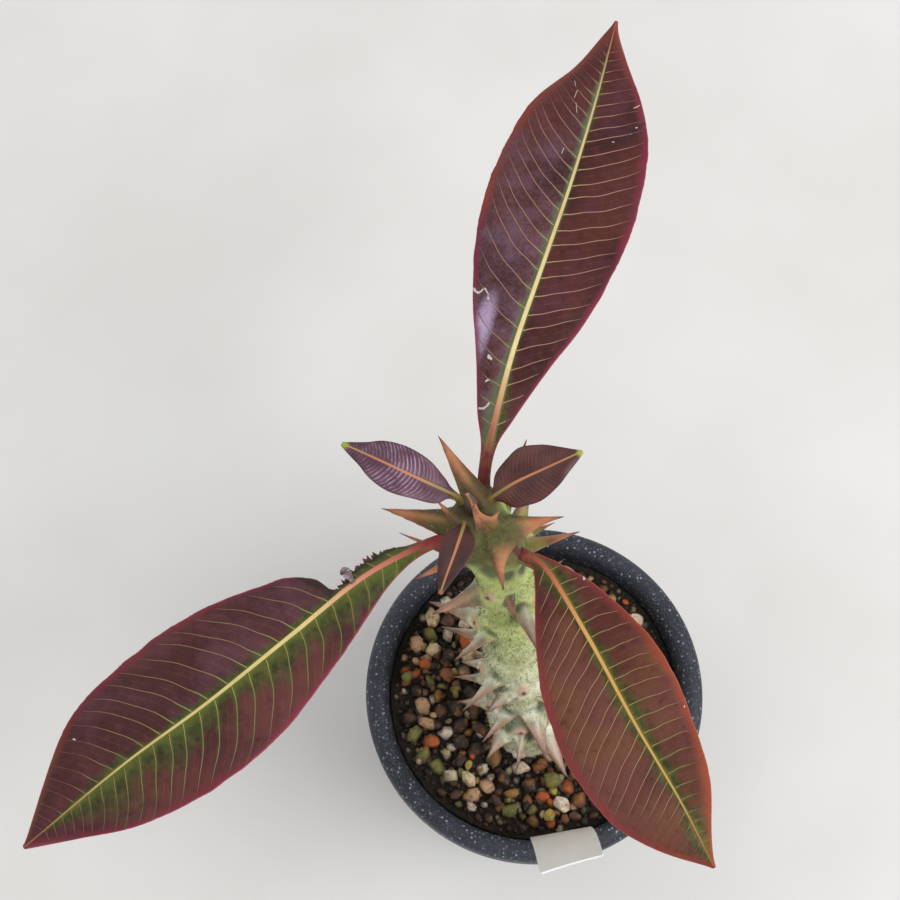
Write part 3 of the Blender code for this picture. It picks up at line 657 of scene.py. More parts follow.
HOLLOWS = (
    (-13.6, 17.4, 135.2, 3.4), (-9.0, 16.6, 134.0, 2.4), (-5.3, 19.4, 132.4, 2.4), (-5.4, 10.4, 121.4, 2.4),
    (-17.6, 12.6, 118.0, 2.6), (-2.6, -13.4, 82.2, 2.0),
)
HOLLOW_DEPTH = 0.9
LEAF_BASES = ((-14.8, 37.0, 142.4), (-22.6, 24.0, 141.0))
LEAF_BASE_RADIUS = 2.6
LEAF_BASE_RISE = 1.5
LEAF_TRACE = ((-10.6, 23.4, 146.0), (-6.6, 20.6, 140.8))
TRACE_WIDTH = 1.2
TRACE_RISE = 0.9
SWELL_SCALE = 0.35
SWELL_RISE = 0.4
PIMPLE_SCALE = 1.6
PIMPLE_RISE = 0.14
DOWN_TOP = 133
DOWN_FADE = 8
DOWN_THICKEST = 100
DOWN_SPAN = 16
DOWN_EVEN = 0.25
DOWN_PATCHY = 1.6
DOWN_MORE = 0.9
HAIR_DENSITY = 3400000.0
HAIR_LENGTH = 1.0
HAIR_WIDTH = 0.06
HAIR_LEAN = 0.9


def unit(vectors):
    return vectors / np.linalg.norm(vectors, axis=-1, keepdims=True)


def between(values, low, high):
    """0 below low and 1 above high, straight between; turned round where low is the larger."""
    return np.clip((values - low) / (high - low), 0, 1)


def noisy(points, scale=1.0):
    """Smooth noise at each of the points."""
    return np.array([noise.noise(Vector(point) * scale) for point in points])


stem_line, _ = spline(STEM, STEM_POINTS)
stem_ways = unit(np.gradient(stem_line[:, :3], axis=0))


def at_height(heights, rows):
    """Rows of the stem's line read off at heights."""
    return np.array([np.interp(heights, stem_line[:, 2], column) for column in rows.T]).T


def outward(ways, bearings):
    """Level bearings, in degrees, turned square to the stem's directions."""
    level = np.stack([np.cos(np.radians(bearings)), np.sin(np.radians(bearings)), 0 * bearings], -1)
    return unit(level - ways * (level * ways).sum(-1, keepdims=True))


def bump(heights, bearings):
    """How far the tubercles raise the skin."""
    raised = np.zeros(np.broadcast(heights, bearings).shape)
    for top, middle, bulge, _, _ in TUBERCLES:
        turn = (bearings - middle + 180) % 360 - 180
        rise = heights - (top - THORN_DROP)
        reach = np.where(rise > 0, BUMP_ABOVE, BUMP_BELOW)
        raised = np.maximum(raised, bulge * np.exp(-(turn / BUMP_SPREAD) ** 2 - (rise / reach) ** 2))
    return raised


def skin_point(height, bearing):
    """Point on the skin with the way out of it and the stem's direction there."""
    height, bearing = np.array([height]), np.array([float(bearing)])
    row = at_height(height, stem_line)
    way = at_height(height, stem_ways)
    out = outward(way, bearing)
    reach = row[:, 3] + bump(height, bearing)
    return Vector(row[0, :3] + out[0] * reach[0]), Vector(out[0]), Vector(way[0])


bearings = np.linspace(0, 360, STEM_SIDES, endpoint=False)[None, :]
heights = np.linspace(STEM_FOOT, STEM[-1][2], STEM_RINGS)
rows = at_height(heights, stem_line)
ways = at_height(heights, stem_ways)
outs = outward(ways[:, None, :], np.broadcast_to(bearings, (STEM_RINGS, STEM_SIDES)))
bumps = bump(heights[:, None], bearings)
reach = rows[:, 3:4] + bumps
body = rows[:, None, :3] + outs * reach[..., None]
tilt = np.radians(np.linspace(0, 90, CROWN_RINGS, endpoint=False)[1:])[:, None]
centres = rows[-1, :3] + ways[-1] * CROWN_RISE * np.sin(tilt)
crown = centres[:, None, :] + outs[-1][None] * (reach[-1][None, :] * np.cos(tilt))[..., None]
crown_normals = outs[-1][None] * np.cos(tilt)[..., None] + ways[-1] * np.sin(tilt)[..., None]
skin = np.vstack([np.concatenate([body, crown]).reshape(-1, 3), rows[-1, :3] + ways[-1] * CROWN_RISE])
normals = np.vstack([np.concatenate([outs, crown_normals]).reshape(-1, 3), ways[-1]])
shift = np.zeros_like(skin)
pulled = np.zeros_like(skin)
pulls = np.full(len(skin), BARELY)
marks = {name: np.zeros(len(skin)) for name in ("thorn", "keel", "edge", "ridge", "trace", "hollow")}
marks["scar"] = np.full(len(skin), NO_SCAR)


def mark(name, values):
    """Keeps the larger of a mark and its new values at every point of the skin."""
    np.maximum(marks[name], values, out=marks[name])


def away(spot):
    """Distances of the skin's points from a spot."""
    return np.linalg.norm(skin - np.array(spot), axis=1)


def dome(spot, radius):
    """1 at a spot on the skin, falling away round it."""
    return np.exp(-(away(spot) / radius) ** 2)


def raise_skin(rise):
    shift[:] += normals * rise[:, None]


def draw_thorn(root, way, up, across, length, half_width, build):
    """Pulls the skin round a root out into a keeled thorn with a concave foot, steeper on its under side."""
    way, up, across = np.array(way), np.array(up), np.array(across)
    out = skin - np.array(root)
    thick = np.cross(way, across)
    thick *= 1 if thick @ up > 0 else -1
    sideways = np.abs(out @ across) / half_width
    rise = out @ thick / half_width
    upright = np.where(rise > 0, rise / build["upper"], -rise / build["lower"])
    far = np.abs(out @ way) / (half_width * THORN_REACH)
    distance = (sideways ** KEEL + upright ** KEEL + far ** 2) ** (1 / KEEL)
    nearest = distance.min()
    if nearest > THORN_MISSED:
        return
    pull = between(distance, 1, nearest)
    pulled[:] += (pull ** (build["power"] + BLEND))[:, None] * way * length
    pulls[:] += pull ** BLEND
    mark("thorn", pull)
    keel = np.exp(-(sideways / KEEL_WIDTH) ** 2)
    mark("keel", keel * between(rise, 0, KEEL_START) * between(pull, 0, KEEL_START))
    edge = np.exp(-(upright / EDGE_WIDTH) ** 2) * between(sideways, *EDGE_OFF_KEEL)
    mark("edge", edge * between(pull, *EDGE_START) * (1 - pull ** 2))


def draw_ridge(name, start, stop, width, rise):
    """Raises a soft ridge of skin between two points on it, and marks where it runs."""
    start, stop = np.array(start), np.array(stop)
    along = stop - start
    share = np.clip(((skin - start) @ along) / (along @ along), 0, 1)
    distance = np.linalg.norm(skin - start - share[:, None] * along, axis=1)
    lift = np.exp(-(distance / width) ** 2)
    raise_skin(lift * rise)
    mark(name, lift)


for number, (height, bearing, _, length, climb) in enumerate(TUBERCLES):
    has_leaf = number < LEAFY_TUBERCLES
    scar, _, _ = skin_point(height, bearing)
    for side in (-1, 0, 1):
        if side == 0 and not has_leaf and (number, side) not in THORN_FORMS:
            continue
        drop = THORN_DROP if side or not has_leaf else LEAFY_DROP
        root, _, up = skin_point(height - drop, bearing + side * THORN_SPREAD)
        heading = bearing + side * (THORN_SPREAD + THORN_TURN)
        by_rule = (heading, climb, length * (1.0 if side else MIDDLE_THORN))
        heading, slope, size = THORN_FORMS.get((number, side), by_rule)
        turn = Matrix.Rotation(math.radians(heading), 3, "Z")
        way = turn @ Matrix.Rotation(math.radians(-slope), 3, "Y") @ EAST
        if (number, side) in CROWN_ROOTS:
            tip = root + way * size
            root = Vector(CROWN_ROOTS[number, side])
            way = tip - root
            size = way.length
            way.normalize()
        across = way.cross(up).normalized()
        across = (across - up * THORN_SLANT * side).normalized()
        across = (across - way * across.dot(way)).normalized()
        build = CROWN_THORN if number < CROWN_TUBERCLES else STEM_THORN
        half_width = (build["foot"] + size * build["foot_share"]) * (1.0 if side else MIDDLE_WIDTH)
        draw_thorn(root, way, up, across, size, half_width, build)
        if side and not has_leaf:
            draw_ridge("ridge", scar, root, RIDGE_WIDTH, RIDGE_RISE)
    if not has_leaf:
        pad = SCAR_RISE * between(away(scar), SCAR_RADIUS + 0.5, SCAR_RADIUS - 0.2)
        raise_skin(pad - SCAR_DIMPLE * dome(scar, DIMPLE_RADIUS))
        np.minimum(marks["scar"], away(scar), out=marks["scar"])
for root, tip, half_width in SCALES:
    way = Vector(tip) - Vector(root)
    size = way.length
    way.normalize()
    out = (Vector(root) - Vector(CROWN_DARK_SPOT)).normalized()
    draw_thorn(root, way, out, way.cross(out).normalized(), size, half_width, SCALE_THORN)

# Where two thorns pull at the same skin, the nearer one has it, so no web stands between them.
shift += pulled / pulls[:, None]
raise_skin(-PIT_DEPTH * dome(CROWN_DARK_SPOT, PIT_RADIUS))
draw_ridge("trace", *LEAF_TRACE, TRACE_WIDTH, TRACE_RISE)
for spot in LEAF_BASES:
    raise_skin(dome(spot, LEAF_BASE_RADIUS) * LEAF_BASE_RISE)
for *spot, radius in HOLLOWS:
    mark("hollow", dome(spot, radius))
raise_skin(-marks["hollow"] * HOLLOW_DEPTH)
swell = noisy(skin, SWELL_SCALE)
calm = 1 - marks["thorn"] ** 0.5
raise_skin((swell * SWELL_RISE + noisy(skin, PIMPLE_SCALE) * PIMPLE_RISE) * calm)
# How far the skin stands above or below its own surroundings, a few millimetres across.
relief = (shift * normals).sum(-1)[:-1].reshape(-1, STEM_SIDES)
relief += np.vstack([bumps] + [bumps[-1:]] * (CROWN_RINGS - 1))
relief = np.minimum(relief, RELIEF_CAP)
around = relief.copy()
for _ in range(RELIEF_ROUNDS):
    around = (np.roll(around, RELIEF_SPAN, 1) + np.roll(around, -RELIEF_SPAN, 1) + around) / 3
    padded = np.vstack([around[:RELIEF_SPAN], around, around[-RELIEF_SPAN:]])
    around = (padded[:-2 * RELIEF_SPAN] + padded[2 * RELIEF_SPAN:] + around) / 3
marks["proud"] = np.append((relief - around).reshape(-1), 0.0)
level = skin[:, 2]
downy = calm * between(marks["scar"], SCAR_RADIUS, SCAR_RADIUS + 1)
downy *= between(level, DOWN_TOP, DOWN_TOP - DOWN_FADE)
thickest = np.exp(-((level - DOWN_THICKEST) / DOWN_SPAN) ** 2)
marks["down"] = downy * np.clip(DOWN_EVEN + DOWN_PATCHY * swell + DOWN_MORE * thickest, 0, 1)

skin_finish = Finish("stem_skin", Subsurface_Weight=0.1, Subsurface_Scale=0.001, Coat_Roughness=0.22)
east, north, height = (part / MM for part in skin_finish.split(skin_finish.place))
thorn, scar, proud = (skin_finish.trait(name) for name in ("thorn", "scar", "proud"))
patchy = skin_finish.grain(160.0, 4.0, 0.6)
fine = skin_finish.grain(1100.0, 4.0, 0.65)
flecks = skin_finish.grain(2600.0, 3.0, 0.7)
old_skin = skin_finish.mix(patchy.above(0.35, 0.7), (206, 206, 160), (246, 244, 224))
young_skin = skin_finish.mix(patchy.above(0.3, 0.7), (176, 194, 84), (226, 236, 152))
skin_finish.base(skin_finish.mix((height + patchy * 24.0).above(100.0, 130.0), old_skin, young_skin))
skin_finish.lay(flecks.above(0.56, 0.7) * 0.5, (236, 236, 206))
skin_finish.lay(flecks.above(0.44, 0.3) * 0.5, (96, 106, 50))
skin_finish.lay(fine.above(0.48, 0.32) * 0.35, (128, 140, 78))
# Painted shade where the skin lies below its surroundings, and a painted white highlight where it stands
# proud of them.
skin_finish.lay((proud + fine * 0.4).above(0.1, -0.7) * 0.8, (62, 76, 38))
skin_finish.lay((proud + fine * 0.5).above(0.5, 1.3) * 0.65, (248, 252, 238))
# The crown is laid with darker olive, partly its own colour and partly painted shade under the leaves; the
# sunny patch is left lighter, as painted light.
crown_near = height.above(131.0, 141.0)
sunny = east.above(-13.0, -10.0) * north.above(24.0, 27.0)
crown_olive_and_shade = skin_finish.mix(patchy.above(0.4, 0.65), (62, 70, 20), (108, 98, 40))
skin_finish.lay(crown_near * (patchy * 0.4 + 0.7) * (1 - sunny * 0.9), crown_olive_and_shade)
# Painted shade in the hollows between the tubercles.
hollow_shade = (skin_finish.trait("hollow") + patchy * 0.6 + fine * 0.15).above(0.5, 1.15)
skin_finish.lay(hollow_shade * 0.85, (64, 72, 30))
ridge = (skin_finish.trait("ridge") * 0.9 + fine * 0.3).above(0.55, 0.85)
skin_finish.lay(ridge * 0.75, (196, 138, 112))
scar_rim = (scar + fine * 0.8).above(2.6, 1.5) * scar.above(0.3, 0.8)
skin_finish.lay(scar_rim * 0.7, (206, 160, 136))
skin_finish.lay(scar.above(0.75, 0.35) * 0.9, (112, 44, 48))
fresh = height.above(118.0, 132.0)
papery = skin_finish.ramp(
    thorn, (0.2, (196, 200, 162)), (0.45, (182, 170, 136)), (0.7, (180, 128, 100)), (0.95, (104, 60, 48)),
)
living = skin_finish.ramp(
    thorn, (0.05, (72, 80, 30)), (0.46, (84, 76, 36)), (0.62, (120, 76, 44)), (0.84, (182, 118, 84)),
    (0.97, (112, 64, 48)),
)
# Painted light: the feet of the thorns on the east side, towards the window, are a lit pale green.
sunlit = east.above(-8.0, -5.0) * thorn.above(0.7, 0.45)
living = skin_finish.mix(sunlit * 0.8, living, (146, 146, 74))
thorn_color = skin_finish.mix(fresh, papery, living)
thorn_color = skin_finish.mix(fine.above(0.5, 0.75) * 0.35, thorn_color, (206, 156, 116))
thorn_color = skin_finish.mix(fine.above(0.45, 0.28) * 0.5, thorn_color, (96, 62, 42))
thorn_color = skin_finish.mix(patchy.above(0.48, 0.34) * 0.45, thorn_color, (74, 52, 32))
thorn_start = 0.3 - fresh * 0.24
skin_finish.lay((thorn + fine * 0.16 - thorn_start).above(0.06, 0.26), thorn_color)
# A painted highlight along the upper crest of each thorn, whitish on the stem and orange in the crown.
crest_highlight = skin_finish.mix(fresh, (238, 240, 226), (206, 148, 96))
skin_finish.lay(skin_finish.trait("keel") * 0.5, crest_highlight)
edge_color = skin_finish.mix(fresh, (172, 108, 88), (176, 104, 62))
outline = (skin_finish.trait("edge") + fine * 0.3).above(0.6, 0.95)
skin_finish.lay(outline * (thorn - fresh * 0.3).above(0.0, 0.12) * 0.7, edge_color)
dark_far, green_far = (
    skin_finish.vector("DISTANCE", skin_finish.place, tuple(Vector(spot) * MM), "Value") / MM
    for spot in (CROWN_DARK_SPOT, CROWN_GREEN_SPOT)
)
crown_front = (green_far + patchy * 4.0 + fine * 0.8).above(8.8, 4.4)
front_green = skin_finish.mix(fine.above(0.4, 0.6), (54, 64, 16), (80, 82, 28))
skin_finish.lay(crown_front * 0.9, front_green)
skin_finish.lay(skin_finish.trait("trace").above(0.35, 0.7) * 0.9, (92, 34, 38))
around_pit = (dark_far + patchy * 3.0).above(10.0, 6.0) * thorn.above(0.7, 0.4)
skin_finish.lay(around_pit * 0.7, (80, 60, 34))
# Painted shade: the pit in the crown is dark almost to black.
skin_finish.lay((dark_far + patchy * 2.0).above(5.0, 2.6) * 0.95, (38, 26, 24))
matt = height.above(132.0, 142.0)
skin_finish.paint("Roughness", 0.34 + fine * 0.24 + matt * 0.25)
skin_finish.paint("Coat Weight", 0.45 - matt * 0.42)
skin_finish.emboss(fine * 0.7 + flecks * 0.5, 0.3)

faces = tube_faces(STEM_RINGS + CROWN_RINGS - 1, STEM_SIDES)
last_ring = (STEM_RINGS + CROWN_RINGS - 2) * STEM_SIDES
for side in range(STEM_SIDES):
    faces.append((last_ring + side, last_ring + (side + 1) % STEM_SIDES, len(skin) - 1))
faces.append(tuple(reversed(range(STEM_SIDES))))
trunk = surface("thorny_stem", skin + shift, faces, skin_finish, marks)

hair_finish = Finish("stem_hairs", Roughness=0.6)
shades = ((0.0, (62, 62, 30)), (0.45, (110, 106, 60)), (0.62, (240, 238, 218)))
hair_finish.base(hair_finish.ramp(hair_finish.trait("kind"), *shades, step="CONSTANT"))
down = Growth("hair_scatter", density="Float", length="Float", width="Float", seed="Int")
scatter = down.node(
    "GeometryNodeDistributePointsOnFaces", "Points", {"distribute_method": "RANDOM"},
    Mesh=down.given("Geometry"), Density=down.stored("down") * down.given("density"), Seed=down.given("seed"),
)
hair = down.node(
    "GeometryNodeMeshCone", "Mesh", {"fill_type": "NONE"},
    Vertices=3, Radius_Top=0.0, Radius_Bottom=down.given("width"), Depth=down.given("length"),
)
lean = down.draw((-HAIR_LEAN, -HAIR_LEAN, 0.0), (HAIR_LEAN, HAIR_LEAN, 6.28), 2, "FLOAT_VECTOR")
leaning = down.node(
    "FunctionNodeRotateRotation", None, {"rotation_space": "LOCAL"},
    Rotation=scatter.other("Rotation"), Rotate_By=down.turn(lean),
)
bristles = down.node(
    "GeometryNodeInstanceOnPoints",
    Points=scatter, Instance=hair, Scale=down.draw(0.5, 1.2, 3), Rotation=leaning,
)
down.end(down.store(bristles, "kind", down.draw(0.0, 1.0, 5)))
hairs = down.grow(
    trunk, hair_finish, density=HAIR_DENSITY, length=HAIR_LENGTH * MM, width=HAIR_WIDTH * MM, seed=3,
)
hairs.name = hairs.data.name = "stem_hairs"
settle(trunk, "stem_skin", "trunk")
settle(hairs, "stem_skin")

# Grown leaves
# Three leathery leaves, each one living piece: round stalk, thick midrib, thin folded blade with side veins.
# The blade is maroon with green along the midrib; each grew from the tubercle that its stalk sits on.
UP = Vector((0, 0, 1))
BLADE = 0.42
BLADE_COLUMNS = 38
TABLE_POINTS = 400
EDGE_THINNING = 0.55
THIN_EDGE = 0.3
RIB_COLUMNS = 0.2
RIB_TAPER = 0.68
RIB_SHARE = 0.62
RIB_TOP = 0.7
FLAT_TOP = 0.55
WAVE_LAG = 0.9
PLEAT_ROUND = 0.7
PLEAT_FADE = 2.5
RAGGED_EDGE = 0.012
RAGGED_SCALES = (0.22, 0.9)
RAGGED_FINE = 0.4
TORN_SPAN = 9.0
TORN_TEETH = 2.4
TOOTH_SCALE = 1.9
TORN_WIDTH = 1.35
# Widths are distances from the stalk's foot with half the leaf's width there. Veins are how far the side
# veins lean near the foot, halfway and near the tip, then how much they bend at the foot and at the tip.
LEAVES = {
    "leaf_back": {
        "midrib": (
            (-15.2, 34.0, 142.0), (-14.6, 43.1, 146.6), (-8.6, 67.4, 151.0), (-0.3, 92.0, 153.5),
            (6.8, 113.8, 152.0), (13.9, 138.9, 148.4), (19.8, 163.0, 143.0),
        ),
        "left": (
            (0, 1.6), (12, 1.8), (21, 4.7), (34, 8.4), (47, 13.5), (60, 17.4), (73, 19.1), (86, 19.1),
            (98, 17.2), (111, 12.6), (124, 6.0), (137, 0.5),
        ),
        "right": (
            (0, 1.6), (13, 1.7), (21, 4.2), (34, 9.1), (47, 13.5), (60, 16.5), (73, 17.9), (86, 17.6),
            (98, 16.2), (111, 12.5), (124, 5.5), (137, 0.5),
        ),
        "rib": 1.6, "fold": 9.0, "droop": 2.5, "wave": 1.2, "waves": 4.5, "stations": 320, "roll": 0.0,
        "first": 17.0, "pitch": {"left": 4.5, "right": 4.7}, "pillow": 0.24, "seed": 2,
        "veins": {"left": (0.3, 0.4, 0.6, 0.005, 0.04), "right": (0.7, 0.3, 0.45, 0.008, 0.012)},
    },
    "leaf_left": {
        "midrib": (
            (-20.4, 24.6, 140.4), (-27.3, 23.1, 143.2), (-43.1, 14.2, 146.0), (-60.4, -0.9, 148.5),
            (-79.4, -16.6, 147.6), (-98.4, -30.5, 145.0), (-121.4, -48.0, 136.0),
        ),
        "left": (
            (0, 1.5), (11, 1.8), (19, 3.6), (31, 7.6), (43, 11.3), (55, 14.3), (67, 16.6), (79, 17.3),
            (91, 15.9), (103, 13.0), (115, 7.0), (127.5, 0.5),
        ),
        "right": (
            (0, 1.5), (12, 1.6), (17, 3.2), (22, 3.9), (27, 3.3), (32, 2.0), (34.4, 2.2), (35.4, 6.0),
            (37, 8.2), (40, 11.0), (43, 12.6), (55, 16.9), (67, 18.9), (79, 19.9), (91, 18.6), (103, 15.3),
            (115, 9.6), (127.5, 0.5),
        ),
        "rib": 1.5, "fold": 7.0, "droop": 2.2, "wave": 1.3, "waves": 4.0, "stations": 320, "roll": 0.0,
        "first": 17.0, "pitch": {"left": 4.5, "right": 5.0}, "pillow": 0.22, "seed": 5, "torn": 26.0,
        "veins": {"left": (0.22, 0.28, 0.36, 0.03, 0.02), "right": (0.33, 0.33, 0.4, 0.02, 0.02)},
    },
    "leaf_right": {
        "midrib": (
            (-9.9, 24.2, 138.9), (-5.2, 20.2, 141.6), (-0.1, 15.8, 143.6), (9.3, -1.7, 146.8),
            (19.2, -20.9, 146.5), (29.3, -37.9, 143.3), (37.5, -52.4, 137.0),
        ),
        "left": (
            (0, 1.5), (9, 1.7), (14, 3.6), (22, 7.8), (31, 10.8), (40, 12.8), (49, 13.6), (58, 13.0),
            (67, 11.2), (76, 8.6), (86, 4.2), (95, 0.5),
        ),
        "right": (
            (0, 1.5), (9, 1.8), (14, 4.0), (22, 8.2), (31, 12.4), (40, 15.8), (49, 17.5), (58, 18.3),
            (67, 17.6), (76, 15.4), (86, 9.2), (95, 0.5),
        ),
        "rib": 1.5, "fold": 8.0, "droop": 2.0, "wave": 0.9, "waves": 3.0, "stations": 260, "roll": 3.0,
        "first": 12.0, "pitch": {"left": 3.6, "right": 3.4}, "pillow": 0.22, "seed": 8,
        "veins": {"left": (0.0, 0.04, 0.1, 0.003, 0.005), "right": (0.7, 0.62, 0.55, 0.003, 0.006)},
    },
}
VEIN_STAGES = (0.15, 0.5, 0.85)
VEIN_THIN = ((0.6, 1.0), (1.0, 0.55))
VEIN_FADE = ((0.65, 1.0), (0.0, 0.95))
FIRST_JITTER = 0.6
VEIN_JITTER = (0.8, 1.2)
LAST_VEIN = 0.97
VEIN_PROUD = 0.08
VEIN_HOOK = 0.8
STALK_PITCH = 5
VEIN_END = 1.3
VEIN_POINTS = 22
VEIN_FOOT = 0.4
VEIN_FARTHEST = 26
VEIN_STOP = 0.985
SHORT_VEIN = 6.0
SWEEP_ROUNDS = 6
VEIN_SAMPLES = 200
FEWEST_SAMPLES = 12
VEIN_WIDTH = 0.15
VEIN_TAPER = 0.35
# How far a side vein wavers, then how fast across the blade and along it.
VEIN_WAVERS = ((0.12, 0.55, 0.31), (0.07, 1.3, -0.9))


def vein_starts(leaf, side):
    """Distances along the midrib where the side veins of one side leave it, from the stalk to the tip."""
    draw = random.Random(f"{leaf['seed']} {side}")
    length = leaf["left"][-1][0]
    pitch = leaf["pitch"][side]
    starts = [leaf["first"] + draw.uniform(0, pitch * FIRST_JITTER)]
    while starts[-1] < length * LAST_VEIN:
        share = starts[-1] / length
        starts.append(starts[-1] + pitch * np.interp(share, *VEIN_THIN) * draw.uniform(*VEIN_JITTER))
    return np.array(starts)


def blade_form(leaf):
    """What places a point on a leaf: its line, its directions and its half-widths at even stations."""
    line, run = spline(leaf["midrib"], leaf["stations"])
    share = run / run[-1]
    ways = unit(np.gradient(line, axis=0))
    sides = unit(np.cross(ways, np.array(UP)))
    roll = math.radians(leaf["roll"])
    sides = sides * math.cos(roll) + np.cross(ways, sides) * math.sin(roll)
    coarse, fine = (run * scale for scale in RAGGED_SCALES)
    ragged = noisy([(place, leaf["seed"], 0) for place in coarse])
    ragged += RAGGED_FINE * noisy([(place, leaf["seed"], 4) for place in fine])
    halves = {}
    for side in ("left", "right"):
        table, _ = spline(leaf[side], TABLE_POINTS)
        half = np.maximum(np.interp(share * leaf["left"][-1][0], table[:, 0], table[:, 1]), THIN_EDGE)
        if "torn" in leaf and side == "right":
            tear = np.exp(-((run - leaf["torn"]) / TORN_SPAN) ** 4)
            bite = noisy([(place, 9, 1) for place in run * TOOTH_SCALE])
            half = np.maximum(half + tear * bite * TORN_TEETH, TORN_WIDTH * (1 - 0.5 * run / run[-1]))
        halves[side] = half * (1 + RAGGED_EDGE * ragged * between(half, 4, 8))
    return {
        "leaf": leaf, "line": line, "run": run, "share": share, "sides": sides, "halves": halves,
        "normals": np.cross(sides, ways), "starts": {side: vein_starts(leaf, side) for side in halves},
    }


def blade_points(form, stations, offsets, side, face):
    """Points on one face of a leaf, at stations along it and distances from its midrib on one side."""
    leaf = form["leaf"]
    sign = -1 if side == "left" else 1

    def read(values):
        index = np.arange(len(values))
        if values.ndim == 1:
            return np.interp(stations, index, values)
        return np.stack([np.interp(stations, index, column) for column in values.T], -1)

    half = read(form["halves"][side])
    share = read(form["share"])
    edge = np.clip(offsets / half, 0, 1)
    rib = leaf["rib"] * (1 - RIB_TAPER * share)
    spread = np.clip(half - rib, 0, None) / half
    rib_face = rib * (1 - (1 - RIB_TOP) * spread) if face == "top" else rib
    round_part = np.sqrt(np.clip(rib_face ** 2 - (offsets * np.maximum(rib / half, 1)) ** 2, 0, None))
    swell = np.clip(round_part - BLADE / 2, 0, None)
    curl = np.sin(2 * math.pi * leaf["waves"] * share + sign * WAVE_LAG) * leaf["wave"] * edge ** 2
    lift = (offsets * math.tan(math.radians(leaf["fold"])) - leaf["droop"] * edge ** 2 + curl) * spread
    phase = vein_phase(form, read(form["run"]), offsets, side)
    puff = np.abs(np.sin(math.pi * phase)) ** PLEAT_ROUND * leaf["pillow"]
    puff = puff * between(offsets - rib, 0, PLEAT_FADE) * between(half - offsets, 0, PLEAT_FADE)
    thin = BLADE / 2 * (1 - EDGE_THINNING * edge ** 6)
    middle = read(form["line"]) + read(form["sides"]) * (sign * offsets)[..., None]
    middle = middle + read(form["normals"]) * (lift + puff)[..., None]
    if face == "top":
        return middle + read(form["normals"]) * (thin + swell * (1 - FLAT_TOP * spread))[..., None]
    return middle - read(form["normals"]) * (thin + swell)[..., None]


def vein_sweep(form, run, offsets, side):
    """How far towards the tip a side vein is at an offset: leaning, bent, wavering, hooked at its end."""
    half = np.interp(run, form["run"], form["halves"][side])
    waver = sum(swing * np.sin(out * offsets + on * run) for swing, out, on in VEIN_WAVERS)
    hook = VEIN_HOOK * np.clip(offsets / np.maximum(half, 3), 0, 1) ** 5
    *leans, first_bend, last_bend = form["leaf"]["veins"][side]
    share = run / form["run"][-1]
    bend = first_bend + (last_bend - first_bend) * share
    bent = np.interp(share, VEIN_STAGES, leans) * offsets + bend * offsets ** 2
    return bent + waver * between(offsets, 1, 3) + hook


def vein_phase(form, run, offsets, side):
    """Number of the side vein that passes a point; whole on a vein, a half midway to the next."""
    starts = form["starts"][side]
    start = run - vein_sweep(form, run, offsets, side)
    phase = np.interp(start, starts, np.arange(len(starts)))
    return np.where(start < starts[0], (start - starts[0]) / STALK_PITCH, phase)


def leaf_blade(name, form, finish):
    """The closed skin of a leaf, with the numbers that its material reads."""
    run, halves = form["run"], form["halves"]
    columns = {"left": [], "right": []}
    for side, offsets in columns.items():
        rib = np.minimum(form["leaf"]["rib"] * (1 - RIB_TAPER * form["share"]), halves[side] * RIB_SHARE)
        for part in np.linspace(0, 1, BLADE_COLUMNS + 1)[1:]:
            inner = min(part / RIB_COLUMNS, 1)
            outer = max(part - RIB_COLUMNS, 0) / (1 - RIB_COLUMNS)
            offsets.append(rib * inner + (halves[side] - rib) * outer)
    across = [("left", -1, offsets) for offsets in columns["left"][::-1]]
    across += [("right", 1, offsets) for offsets in [0 * run] + columns["right"]]
    points, traits = [], {"along": [], "across": [], "margin": [], "vein": [], "under": []}
    for face in ("top", "bottom"):
        for side, sign, offsets in across if face == "top" else across[::-1]:
            points.append(blade_points(form, np.arange(len(run)), offsets, side, face))
            phase = vein_phase(form, run, offsets, side)
            under = np.full(len(run), face == "bottom")
            numbers = (run, sign * offsets, halves[side] - offsets, phase, under)
            for column, values in zip(traits.values(), numbers):
                column.append(values)
    faces = tube_faces(len(run), len(points), closed=True)
    traits = {key: np.stack(value, 1).reshape(-1) for key, value in traits.items()}
    return surface(name, np.stack(points, 1).reshape(-1, 3), faces, finish, traits)


def vein_lines(name, form):
    """The side veins as bare edges on the upper and lower faces, with how far out each point is."""
    points, edges, reach = [], [], []
    leaf, length = form["leaf"], form["run"][-1]
    for side, starts in form["starts"].items():
        for start in starts[:-1]:
            offsets = np.linspace(leaf["rib"] * VEIN_FOOT, VEIN_FARTHEST, VEIN_SAMPLES)
            run = start + leaf["veins"][side][0] * offsets
            for _ in range(SWEEP_ROUNDS):
                run = start + vein_sweep(form, run, offsets, side)
            stations = np.interp(run, form["run"], np.arange(len(form["run"])))
            limit = np.interp(run, form["run"], form["halves"][side])
            inside = (offsets < limit - VEIN_END) & (run < length * VEIN_STOP)
            last = len(inside) if inside.all() else np.argmin(inside)
            if min(last, inside.sum()) < FEWEST_SAMPLES:
                continue
            pick = np.linspace(0, last - 1, VEIN_POINTS).astype(int)
            faded = np.interp(start / length, *VEIN_FADE)
            for face, proud in (("top", VEIN_PROUD), ("bottom", -VEIN_PROUD)):
                first = len(points)
                line = blade_points(form, stations[pick], offsets[pick], side, face)
                points += (line + (0, 0, proud)).tolist()
                edges += [(first + step, first + step + 1) for step in range(VEIN_POINTS - 1)]
                reach += list(np.minimum(offsets[pick] / max(offsets[last - 1], SHORT_VEIN) + faded, 1.0))
    mesh = bpy.data.meshes.new(name)
    mesh.from_pydata((np.array(points) * MM).tolist(), edges, [])
    keep_numbers(mesh, "reach", reach)
    return shown(name, mesh)


